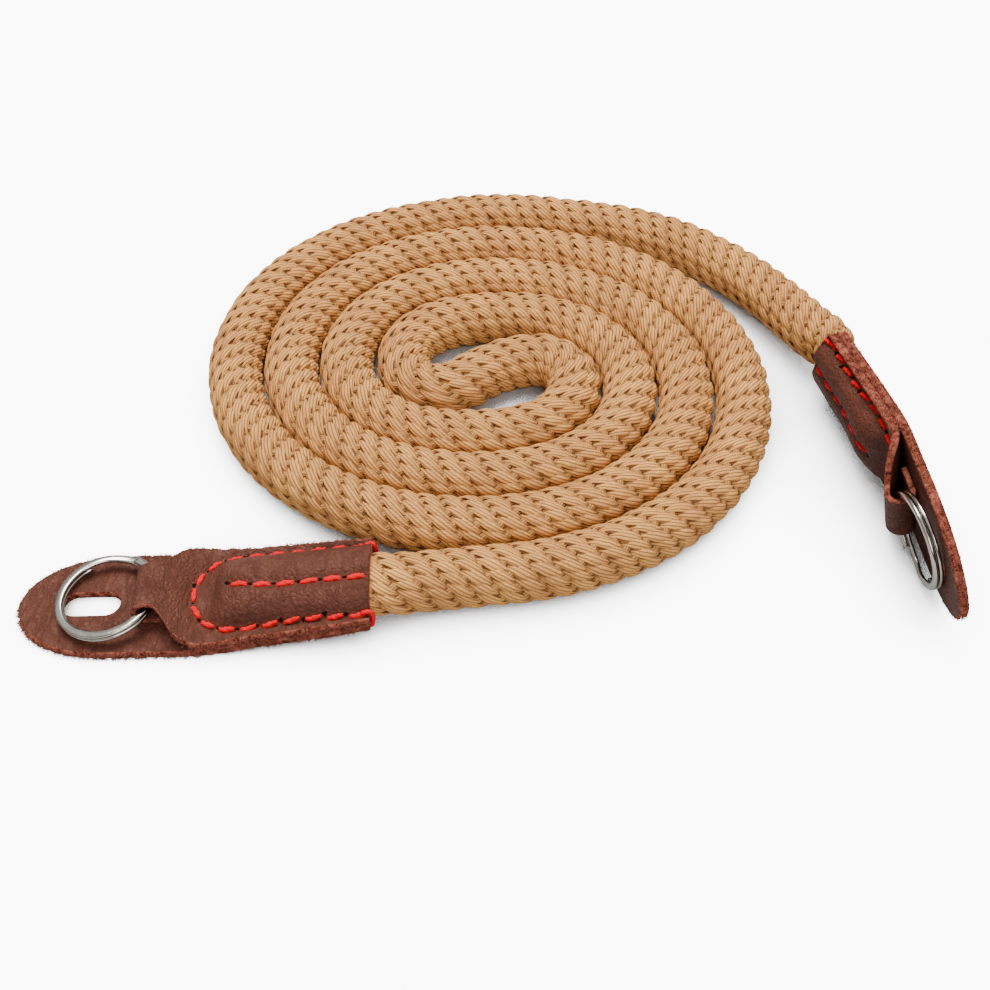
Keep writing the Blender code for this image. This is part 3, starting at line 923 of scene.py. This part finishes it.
def edge_fibres(points, settings, seed):
    """Loose fibres that stand out of a leaf's two cut edges, as thin spikes."""
    draw = np.random.RandomState(seed)
    shapes = []
    sides = 3
    first = LEAF_COLUMNS
    second = 2 * LEAF_COLUMNS + RIM_STEPS
    for start, sign in ((first, -1.0), (second, 1.0)):
        strip = points[:, start:start + RIM_STEPS]
        run = np.concatenate([[0.0], np.cumsum(np.linalg.norm(np.diff(strip[:, 2], axis=0), axis=1))])
        tufts = draw.uniform(0.0, run[-1], int(run[-1] / settings.fibre_spacing / FIBRES_IN_TUFT))
        places = np.repeat(tufts, FIBRES_IN_TUFT)
        places = places + draw.normal(0.0, TUFT_SPREAD, len(places))
        for place in np.clip(places, 0.0, run[-1]):
            row = min(int(np.searchsorted(run, place)), len(run) - 1)
            share = (run[row] - place) / max(run[row] - run[row - 1], 1e-9) if row else 0.0
            level = draw.randint(0, RIM_STEPS)
            root = strip[row, level] * (1 - share) + strip[row - 1, level] * share
            ahead = strip[min(row + 1, len(run) - 1), level] - strip[max(row - 1, 0), level]
            ahead /= np.linalg.norm(ahead) + 1e-9
            out = np.array([0.0, sign, 0.0])
            out -= ahead * (out @ ahead)
            out /= np.linalg.norm(out) + 1e-9
            lean = draw.normal(0.0, 0.6, 3)
            towards = out + ahead * lean[0] + np.array([0.0, 0.0, 1.0]) * 0.6 * lean[1]
            towards /= np.linalg.norm(towards)
            reach = settings.fibre_length * draw.uniform(0.25, 1.0) ** 1.4
            rings = []
            for part, size in ((-0.15, 1.0), (0.55, 0.75), (1.0, 0.15)):
                bow = 0.25 * reach * part * part * lean[2] * ahead
                centre = root + towards * reach * part + bow
                across = np.cross(towards, (0.3, 0.2, 0.93))
                across /= np.linalg.norm(across)
                other = np.cross(towards, across)
                ring = []
                for i in range(sides):
                    angle = 2 * math.pi * i / sides
                    around = across * math.cos(angle) + other * math.sin(angle)
                    ring.append(centre + around * size * settings.fibre_width / 2)
                rings.append(ring)
            shapes.append(np.array(rings))
    return shapes


def make_fibres(name, leaves, matrix, settings, material, seed):
    """One piece of all the loose fibres on one leather end's cut edges."""
    shapes = []
    for number, (rows, side) in enumerate(leaves):
        points, _ = leaf_rings(rows, side)
        for rings in edge_fibres(points, settings, seed + number):
            ends = placed(matrix, rings.reshape(-1, 3)).reshape(rings.shape)
            ends[:, :, 2] += max(FLOOR_GAP - ends[:, :, 2].min(), 0.0)
            shapes.append(lofted(ends, np.linspace(0, 1, 4), np.linspace(0, 1, 3)))
    return mesh_object(name, shapes, [material])


def make_leaf(name, rows, side, matrix, materials, seed):
    points, column_paint = leaf_rings(rows, side)
    points = roughen(points, column_paint, seed)
    shape = lofted(
        placed(matrix, points.reshape(-1, 3)).reshape(points.shape),
        np.linspace(0.0, 1.0, points.shape[1] + 1),
        np.linspace(0.0, 1.0, points.shape[0]),
    )
    paint = np.tile(column_paint, points.shape[0] - 1)
    return mesh_object(name, [shape], materials, paint)


def slot_cutter(matrix, materials):
    """Prism with round ends that cuts the tab's slot."""
    middle = END_LENGTH - SLOT_FROM_TIP
    radius = SLOT_WIDTH / 2
    straight = SLOT_LENGTH / 2 - radius
    outline = []
    for side in (1, -1):
        for step in range(17):
            angle = math.pi * step / 16 - math.pi / 2
            outline.append((middle + side * (straight + radius * math.cos(angle)), side * radius * math.sin(angle)))
    levels = (-2 * LEATHER, 3 * LEATHER)
    rings = np.array([[(x, y, z) for x, y in outline] for z in levels])
    count = rings.shape[1]
    shape = lofted(placed(matrix, rings.reshape(-1, 3)).reshape(rings.shape), np.linspace(0, 1, count + 1),
                   np.array([0.0, 1.0]))
    return mesh_object("slot_cutter", [shape], materials, np.ones(count, dtype=int))


def cut_slot(leaf, matrix, materials):
    """Cut the slot through a back leaf and keep the result as its mesh."""
    cutter = slot_cutter(matrix, materials)
    cut = leaf.modifiers.new("slot", "BOOLEAN")
    cut.operation = "DIFFERENCE"
    cut.solver = "EXACT"
    cut.object = cutter
    graph = bpy.context.evaluated_depsgraph_get()
    cut_mesh = bpy.data.meshes.new_from_object(leaf.evaluated_get(graph))
    leaf.modifiers.clear()
    old = leaf.data
    leaf.data = cut_mesh
    bpy.data.meshes.remove(old)
    bpy.data.objects.remove(cutter, do_unlink=True)


# Stitches

class FrontFace:
    """The stitched face of a leather end, read at a place along and across it."""

    def __init__(self, back=False):
        self.rows = back_line() if back else front_line()
        self.rows = self.rows[self.rows[:, 2] == 0.0]
        self.back = back

    def point(self, x, y):
        rows = self.rows
        level, thickness, depth = (np.interp(x, rows[:, 0], rows[:, i]) for i in (1, 3, 5))
        reach = SQUASHED_WIDTH / 2 + CLEARANCE + 0.75 * LEATHER
        height = thickness / 2 + depth * dome_profile(np.array([y]), reach)[0]
        place = (np.array([x]), np.array([y]))
        dent = rim_groove(*place)[0] + middle_groove(*place)[0]
        if self.back:
            return np.array([x, y, level - height + BACK_DENT_SHARE * dent])
        return np.array([x, y, level + height - dent])

    def normal(self, x, y):
        step = 0.3 * MM
        a = self.point(x + step, y) - self.point(x - step, y)
        b = self.point(x, y + step) - self.point(x, y - step)
        out = np.cross(a, b)
        out /= np.linalg.norm(out)
        return -out if self.back else out


def stitch_shape(face, start, end, settings, matrix, draw):
    """One stitch: a two-ply thread that comes out of one hole, lies on the leather and dives into the next."""
    sides = 12
    count = 15
    share = np.linspace(0.0, 1.0, count)
    rings = []
    radius = settings.thread_diameter / 2 * draw.uniform(0.92, 1.08)
    slant = settings.stitch_slant * draw.uniform(0.5, 1.4)
    chord = np.array([end[0] - start[0], end[1] - start[1]])
    aside = np.array([-chord[1], chord[0]]) / np.linalg.norm(chord)
    for s in share:
        along = settings.stitch_gap / 2 + (1.0 - settings.stitch_gap) * s
        x, y = np.array(start) + chord * along + aside * slant * (s - 0.5)
        out = face.normal(x, y)
        ease = math.sin(math.pi * s) ** 0.3
        centre = face.point(x, y) + out * (-0.9 * radius + 1.5 * radius * ease)
        run = np.array([chord[0], chord[1], 0.0])
        run -= out * (run @ out)
        run /= np.linalg.norm(run)
        across = np.cross(out, run)
        size = radius * (0.66 + 0.34 * ease)
        ring = []
        for i in range(sides):
            angle = 2 * math.pi * i / sides
            lobe = 1 + 0.13 * math.cos(2 * (angle - 5.2 * s))
            ring.append(centre + (across * math.cos(angle) * 1.12 + out * math.sin(angle) * 0.86) * size * lobe)
        rings.append(ring)
    return sewn_on(matrix, np.array(rings), np.linspace(0, 1, sides + 1), share)


def mouth_stitch(across, settings, matrix):
    """The last stitch of a row, wrapped over the edge of the leather's mouth from one face to the other."""
    top = SEAM_AT_MOUTH + CLEARANCE / 2 + LEATHER
    bottom = SEAM_AT_MOUTH - CLEARANCE / 2 - LEATHER
    radius = settings.thread_diameter / 2
    over = 0.7 * radius
    path = (
        (1.2 * MM, across, top - over),
        (0.5 * MM, across, top + 0.4 * over),
        (-0.1 * MM, across, top + 0.3 * over),
        (-over, across, top - over),
        (-over, across, bottom + over),
        (-0.1 * MM, across, bottom - 0.3 * over),
        (0.5 * MM, across, bottom - 0.4 * over),
        (1.2 * MM, across, bottom + over),
    )
    line = even_line(path, 0.3 * MM)
    sides = 12
    run = np.gradient(line, axis=0)
    run /= np.linalg.norm(run, axis=1)[:, None]
    side = np.array([0.0, 1.0, 0.0])
    rings = []
    for i in range(sides):
        angle = -2 * math.pi * i / sides
        rings.append(line + (side * math.cos(angle) + np.cross(run, side) * math.sin(angle)) * radius)
    return sewn_on(matrix, np.stack(rings, axis=1), np.linspace(0, 1, sides + 1), np.arange(len(line)) / 12)


def hole_shape(face, place, settings, matrix, draw):
    """Small torn hole where the thread goes through the leather, as a cup in near-black painted shade."""
    out = face.normal(*place)
    centre = face.point(*place)
    x_axis = np.cross((0.0, 1.0, 0.0), out)
    x_axis /= np.linalg.norm(x_axis)
    y_axis = np.cross(out, x_axis)
    tear = draw.uniform(0.55, 1.35, 12)
    rings = []
    for height, size in ((-0.3, 0.6), (0.02, 1.0), (0.05, 0.8), (0.06, 0.3)):
        ring = []
        for i in range(12):
            angle = 2 * math.pi * i / 12
            flat = x_axis * math.cos(angle) + y_axis * math.sin(angle)
            ring.append(centre + out * height * MM + flat * size * tear[i] * settings.hole_diameter / 2)
        rings.append(ring)
    return sewn_on(matrix, np.array(rings), np.linspace(0, 1, 13), np.arange(4.0))


def stitch_rows(settings):
    """Start and end of every stitch of the outer row and of the middle one, along and across."""
    rows = []
    for route in (RIM_STITCHES, MIDDLE_STITCHES):
        _, length = spline_through([(x, y, 0.0) for x, y in route])
        line = even_line([(x, y, 0.0) for x, y in route], length / round(length / settings.stitch_pitch))
        rows.append([(tuple(a[:2]), tuple(b[:2])) for a, b in zip(line[:-1], line[1:])])
    return rows


# Split ring

def ring_placement(matrix):
    """Placement of a ring: origin on the pivot, X towards the ring's centre, lying on the tab."""
    drop = PIVOT_LEVEL - (LEATHER + CLEARANCE + RING_STACK / 2)
    reach = PIVOT_TO_RING + RING_DIAMETER / 2
    lie = math.asin(drop / reach)
    pivot = Matrix.Translation((PIVOT_FROM_MOUTH, 0.0, PIVOT_LEVEL))
    return matrix @ pivot @ Matrix.Rotation(lie, 4, "Y")


def ring_shape(matrix):
    """Flattened wire wound twice round, its corners rounded and its ends cut square."""
    flat = 360.0 - RING_STEP_DEGREES
    rise = RING_WIRE_HEIGHT + RING_COIL_GAP
    corner = 0.31 * MM
    section = []
    for quarter, (outwards, up) in enumerate(((1, 1), (-1, 1), (-1, -1), (1, -1))):
        for step in range(4):
            angle = math.radians(90.0 * quarter + 30.0 * step)
            r = outwards * (RING_WIRE_WIDTH / 2 - corner) + corner * math.cos(angle)
            z = up * (RING_WIRE_HEIGHT / 2 - corner) + corner * math.sin(angle)
            section.append((r, z))
    turned = np.linspace(0.0, 360.0 + flat, 177)
    share = np.clip((turned - flat) / RING_STEP_DEGREES, 0.0, 1.0)
    share = share * share * (3 - 2 * share)
    rings = []
    for angle, part in zip(np.radians(turned + RING_START_DEGREES), share):
        level = rise * (part - 0.5)
        ring = []
        for r, z in section:
            radius = RING_RADIUS + r
            ring.append((PIVOT_TO_RING + radius * math.cos(angle), radius * math.sin(angle), level + z))
        rings.append(ring[::-1])
    rings = np.array(rings)
    place = ring_placement(matrix)
    return lofted(placed(place, rings.reshape(-1, 3)).reshape(rings.shape), np.linspace(0, 1, len(section) + 1),
                  turned / 360.0)


# Settings

def colour(name, description, value):
    return bpy.props.FloatVectorProperty(
        name=name, description=description, default=(*value, 1.0), size=4, subtype="COLOR", min=0.0, max=1.0
    )


def length(name, description, value):
    return bpy.props.FloatProperty(name=name, description=description, default=value, unit="LENGTH", precision=5)


def number(name, description, value):
    return bpy.props.FloatProperty(name=name, description=description, default=value)


class StrapRopeSettings(bpy.types.PropertyGroup):
    rope_diameter: length("Rope diameter", "Outer diameter of the braid over its floats", 10.1 * MM)
    core_radius: length("Core radius", "Radius of the core under the strands", 3.9 * MM)
    float_pitch: length("Float pitch", "Distance between floats along one wale", 3.65 * MM)
    strand_width: length("Strand half width", "Half width of a long strand at the middle of a float", 1.1 * MM)
    strand_height: length("Strand half height", "Half thickness of a strand", 0.43 * MM)
    strand_dive: length("Strand dive", "How far a long strand dives under the cross strands", 0.88 * MM)
    strand_taper: number("Strand taper", "Share of its width that a float loses at its ends", 0.3)
    strand_overrun: length("Strand overrun", "Length of the strands inside the leather's mouth", 1.6 * MM)
    cross_depth: length("Cross strand depth", "Depth of a cross strand's middle under the surface", 0.72 * MM)
    cross_dive: length("Cross strand dive", "How far a cross strand dives under a float", 0.5 * MM)
    cross_width: length("Cross strand half width", "Half width of a cross strand", 0.86 * MM)
    float_samples: bpy.props.IntProperty(name="Float samples", description="Sections in each float", default=12)
    cross_samples: bpy.props.IntProperty(name="Cross samples", description="Sections in each patch", default=7)
    pinch_length: length("Pinch length", "Length over which the leather's mouth flattens the rope", 9.0 * MM)
    pinch_width: number("Pinch width", "Width of the rope at the mouth as a share of its diameter", 1.14)
    pinch_height: number("Pinch height", "Height of the rope at the mouth as a share of its diameter", 0.74)
    rope_colour: colour("Rope colour", "Colour of the cotton", (0.62, 0.277, 0.079))
    rope_light: colour("Rope light colour", "Paler patches of the cotton", (0.86, 0.41, 0.108))
    # Painted shade of the cotton in its grooves, along the strands' edges and at their dives, and its dark fibre
    # flecks
    rope_shade_and_fleck: colour("Rope shade and fleck colour", "Painted shade of the cotton, and its dark flecks", (0.17, 0.07, 0.03))


class StrapLeatherSettings(bpy.types.PropertyGroup):
    thread_diameter: length("Thread diameter", "Diameter of the sewing thread", 0.78 * MM)
    stitch_pitch: length("Stitch pitch", "Distance from hole to hole", 3.5 * MM)
    stitch_slant: length("Stitch slant", "How far a stitch's two ends lie apart across the row", 0.24 * MM)
    hole_diameter: length("Hole diameter", "Diameter of an awl hole", 0.9 * MM)
    stitch_gap: number("Stitch gap", "Share of the pitch left free between two stitches", 0.2)
    hole_offset: length("Hole offset", "Distance of the holes from the line of the threads", 0.16 * MM)
    fibre_length: length("Fibre length", "Length of the longest fibres on a cut edge", 0.75 * MM)
    fibre_width: length("Fibre width", "Width of a fibre at its root", 0.12 * MM)
    fibre_spacing: length("Fibre spacing", "Length of cut edge for each fibre", 0.05 * MM)
    leather_colour: colour("Leather colour", "Main colour of the leather", (0.07, 0.0197, 0.0101))
    leather_light: colour("Leather light colour", "Paler patches", (0.091, 0.027, 0.0148))
    # Dark pores of the grain, and painted shade in the creases
    leather_dark: colour("Leather dark colour", "Pores and creases", (0.028, 0.0065, 0.0038))
    edge_colour: colour("Edge colour", "Fibres of the cut edge", (0.27, 0.062, 0.036))
    edge_light: colour("Edge light colour", "Pale fibres of the cut edge", (0.44, 0.14, 0.09))
    thread_colour: colour("Thread colour", "Colour of the thread", (0.62, 0.0004, 0.006))
    thread_light: colour("Thread light colour", "Lit fibres of the thread", (0.85, 0.002, 0.012))
    # Painted shade in the grooves of the thread
    thread_groove_shade: colour("Thread groove shade colour", "Painted shade in the grooves of the thread", (0.3, 0.0003, 0.003))


class StrapRingSettings(bpy.types.PropertyGroup):
    nickel_colour: colour("Nickel colour", "Colour of the plating", (0.46, 0.43, 0.38))
    nickel_dark: colour("Nickel dark colour", "Duller patches", (0.3, 0.275, 0.235))


class StrapStageSettings(bpy.types.PropertyGroup):
    floor_colour: colour("Floor colour", "Colour of the floor", (0.45, 0.45, 0.45))
    floor_glow: number("Floor glow", "Light that the white floor adds where the camera sees it", 9.0)
    shade_reach: length("Shade reach", "How near a piece must be to shade the floor", 20.0 * MM)
    view_height: bpy.props.FloatProperty(
        name="View height", description="Angle of the camera above the floor",
        default=math.radians(48.85), subtype="ANGLE",
    )
    view_distance: length("View distance", "Distance from the camera to its target on the floor", 0.2111)
    lens: number("Lens", "Focal length in millimetres on a 36 mm sensor", 43.89)


# Operators

def floor_piece(context, name, low, high, level, shaded):
    """A flat piece of the pale floor, whose glow fades where the strap shades it if shaded is set."""
    settings = context.scene.strap_stage
    mesh = bpy.data.meshes.new(name)
    corners = [(x, y, level) for x, y in ((low[0], low[1]), (high[0], low[1]), (high[0], high[1]), (low[0], high[1]))]
    mesh.from_pydata(corners, [], [(0, 1, 2, 3)])
    made, n, shader = new_material(name)
    cloud = n.noise(n.add("ShaderNodeTexCoord").outputs["Object"], 6.0)
    dim = tuple(0.985 * value for value in settings.floor_colour[:3]) + (1.0,)
    n.put(shader.inputs["Base Color"], n.blend(cloud, tuple(settings.floor_colour), dim))
    shader.inputs["Roughness"].default_value = 0.9
    shader.inputs["Specular IOR Level"].default_value = 0.1
    glow = n.add("ShaderNodeLightPath").outputs["Is Camera Ray"]
    if shaded:
        near = n.add("ShaderNodeAmbientOcclusion", samples=6)
        near.inputs["Distance"].default_value = settings.shade_reach
        glow = n.maths("MULTIPLY", glow, n.spread(near.outputs["AO"], 0.35, 0.75))
    n.put(shader.inputs["Emission Color"], n.blend(glow, (0.0, 0.0, 0.0, 1.0), (1.0, 1.0, 1.0, 1.0)))
    shader.inputs["Emission Strength"].default_value = settings.floor_glow
    mesh.materials.append(made)
    floor = bpy.data.objects.new(name, mesh)
    context.scene.collection.objects.link(floor)


def finish_piece(piece, body):
    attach(piece, body)


class STRAP_OT_camera(bpy.types.Operator):
    """Add the camera at the photograph's angle"""

    bl_idname = "strap.camera"
    bl_label = "Camera"

    def execute(self, context):
        settings = context.scene.strap_stage
        data = bpy.data.cameras.new("camera")
        data.lens = settings.lens
        data.sensor_width = 36.0
        data.clip_start = 0.01
        camera = bpy.data.objects.new("camera", data)
        context.scene.collection.objects.link(camera)
        target = Vector((COIL_CENTRE[0] + 1.5 * MM, COIL_CENTRE[1] - 25.2 * MM, 0.0))
        height = settings.view_height
        away = Vector((0.0, -math.cos(height), math.sin(height))) * settings.view_distance
        camera.location = target + away
        camera.rotation_euler = (math.pi / 2 - height, 0.0, 0.0)
        context.scene.camera = camera
        return {"FINISHED"}


class STRAP_OT_rope(bpy.types.Operator):
    bl_idname = "strap.rope"
    bl_label = "Rope"

    def execute(self, context):
        settings = context.scene.strap_rope
        rope = RopeLine(settings)
        # depth sets the painted shade at the dives and shade an even painted shade; the cross strands, which lie
        # under the floats, get the even shade
        strands = rope_material("rope_strands", settings, 0.72, 0.0)
        crossing = rope_material("rope_cross_strands", settings, 0.8, 0.2)
        core = mesh_object("rope_core", [core_shape(rope, settings)], [crossing])
        finish_piece(core, "strap")
        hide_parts("rope")
        pieces = []
        groups = np.array_split(np.arange(LONG_STRANDS), LONG_PIECES)
        for i, group in enumerate(groups):
            shapes = [long_strand(rope, settings, int(number)) for number in group]
            pieces.append(mesh_object("rope_strands_%d" % (i + 1), shapes, [strands]))
        groups = np.array_split(np.arange(CROSS_STRANDS), CROSS_PIECES)
        for i, group in enumerate(groups):
            shapes = [cross_strand(rope, settings, int(number)) for number in group]
            pieces.append(mesh_object("rope_cross_strands_%d" % (i + 1), shapes, [crossing]))
        for piece in pieces:
            finish_piece(piece, "strap")
        for side in SIDES:
            node = frame["nodes"][side + "_rope_end"]
            node.data.materials.clear()
            node.data.materials.append(crossing)
        return {"FINISHED"}


class STRAP_OT_leather(bpy.types.Operator):
    """Shape the two leaves of each leather end"""

    bl_idname = "strap.leather"
    bl_label = "Leather ends"

    def execute(self, context):
        settings = context.scene.strap_leather
        materials = [leather_material("leather", settings), raw_edge_material("leather_edge", settings)]
        loose = fibre_material("leather_fibre", settings)
        for seed, side in enumerate(SIDES):
            matrix = end_placement(side)
            front = make_leaf(side + "_front_leaf", front_line(), 1, matrix, materials, 11 + seed)
            back = make_leaf(side + "_back_leaf", back_line(), -1, matrix, materials, 21 + seed)
            cut_slot(back, matrix, materials)
            for leaf, node in ((front, "_front_leather"), (back, "_back_leather")):
                finish_piece(leaf, "strap")
                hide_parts(side + node)
            front_rows = front_line()
            clear = int(np.argmax(front_rows[:, 0] > PIVOT_FROM_MOUTH - RING_SWEEP))
            leaves = ((front_rows[:clear], 1), (back_line(), -1))
            fibres = make_fibres(side + "_edge_fibres", leaves, matrix, settings, loose, 31 + 2 * seed)
            finish_piece(fibres, "strap")
        return {"FINISHED"}


class STRAP_OT_stitches(bpy.types.Operator):
    """Sew the leather ends with red thread"""

    bl_idname = "strap.stitches"
    bl_label = "Stitches"

    def execute(self, context):
        settings = context.scene.strap_leather
        thread = thread_material("thread", settings)
        # The awl holes are small cups in a near-black material: painted shade for the inside of each hole
        dark = hole_shade_material("awl_hole_shade")
        for side in SIDES:
            matrix = end_placement(side)
            shapes = []
            holes = []
            draw = np.random.RandomState(7)
            for face in (FrontFace(), FrontFace(back=True)):
                for row in stitch_rows(settings):
                    for start, end in row:
                        shapes.append(stitch_shape(face, start, end, settings, matrix, draw))
                        aside = draw.normal(0.0, 0.12 * MM, 2)
                        hole = (end[0] + aside[0], end[1] - settings.hole_offset + aside[1])
                        holes.append(hole_shape(face, hole, settings, matrix, draw))
            for across in (RIM_STITCHES[0][1], RIM_STITCHES[-1][1]):
                shapes.append(mouth_stitch(across, settings, matrix))
            stitches = mesh_object(side + "_stitches", shapes, [thread])
            finish_piece(stitches, "strap")
            cups = mesh_object(side + "_stitch_hole_shade", holes, [dark])
            finish_piece(cups, "strap")
        return {"FINISHED"}


class STRAP_OT_rings(bpy.types.Operator):
    """Wind the two split rings"""

    bl_idname = "strap.rings"
    bl_label = "Split rings"

    def execute(self, context):
        nickel = metal_material("nickel", context.scene.strap_ring)
        for side in SIDES:
            ring = mesh_object(side + "_ring", [ring_shape(end_placement(side))], [nickel])
            finish_piece(ring, side + "_ring")
            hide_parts(side + "_split_ring")
        return {"FINISHED"}


class STRAP_OT_stage(bpy.types.Operator):
    """Add the pale floor and the soft studio lights"""

    bl_idname = "strap.stage"
    bl_label = "Stage"

    def execute(self, context):
        settings = context.scene.strap_stage
        floor_piece(context, "floor", (-3.0, -3.0), (3.0, 3.0), 0.0, False)
        margin = settings.shade_reach * 0.75
        low = [cad_bounds[0][axis] - margin for axis in range(2)]
        high = [cad_bounds[1][axis] + margin for axis in range(2)]
        floor_piece(context, "floor_by_strap", low, high, 0.02 * MM, True)
        world = bpy.data.worlds.new("studio")
        world.use_nodes = True
        sky = Nodes(world.node_tree)
        split = sky.add("ShaderNodeSeparateXYZ")
        sky.put(split.inputs[0], sky.add("ShaderNodeTexCoord").outputs["Generated"])
        height = sky.spread(split.outputs[2], 0.22, 0.72)
        studio = sky.blend(height, (0.07, 0.07, 0.07, 1.0), (1.0, 1.0, 1.0, 1.0))
        behind = sky.add("ShaderNodeLightPath").outputs["Is Camera Ray"]
        background = world.node_tree.nodes["Background"]
        white = (settings.floor_glow,) * 3 + (1.0,)
        sky.put(background.inputs["Color"], sky.blend(behind, studio, white))
        background.inputs["Strength"].default_value = 1.05
        context.scene.world = world
        for name, place, energy, width in (
            ("key_light", (-0.14, 0.4, 0.85), 19.0, 0.5),
            ("front_light", (0.25, -0.7, 0.6), 7.0, 0.6),
        ):
            lamp = bpy.data.lights.new(name, "AREA")
            lamp.shape = "DISK"
            lamp.size = width
            lamp.energy = energy
            light = bpy.data.objects.new(name, lamp)
            light.location = place
            towards = Vector((0.0, 0.02, 0.0)) - Vector(place)
            light.rotation_euler = towards.to_track_quat("-Z", "Y").to_euler()
            context.scene.collection.objects.link(light)
        return {"FINISHED"}


class VIEW3D_PT_strap(bpy.types.Panel):
    """Builds the strap step by step"""

    bl_label = "Camera strap"
    bl_idname = "VIEW3D_PT_strap"
    bl_space_type = "VIEW_3D"
    bl_region_type = "UI"
    bl_category = "Strap"

    def draw(self, context):
        for operator in OPERATORS:
            self.layout.operator(operator.bl_idname)
        for name, group in SETTINGS:
            box = self.layout.box()
            for key in group.__annotations__:
                box.prop(getattr(context.scene, name), key)


SETTINGS = (
    ("strap_rope", StrapRopeSettings),
    ("strap_leather", StrapLeatherSettings),
    ("strap_ring", StrapRingSettings),
    ("strap_stage", StrapStageSettings),
)
OPERATORS = (
    STRAP_OT_camera,
    STRAP_OT_rope,
    STRAP_OT_leather,
    STRAP_OT_stitches,
    STRAP_OT_rings,
    STRAP_OT_stage,
)


def register():
    for name, group in SETTINGS:
        bpy.utils.register_class(group)
        setattr(bpy.types.Scene, name, bpy.props.PointerProperty(type=group))
    for item in OPERATORS + (VIEW3D_PT_strap,):
        bpy.utils.register_class(item)


def unregister():
    for item in reversed(OPERATORS + (VIEW3D_PT_strap,)):
        bpy.utils.unregister_class(item)
    for name, group in reversed(SETTINGS):
        delattr(bpy.types.Scene, name)
        bpy.utils.unregister_class(group)


def main():
    register()
    bpy.ops.strap.camera()
    bpy.ops.strap.rope()
    bpy.ops.strap.leather()
    bpy.ops.strap.stitches()
    bpy.ops.strap.rings()
    bpy.ops.strap.stage()
    bpy.context.view_layer.update()


if __name__ == "__main__":
    main()
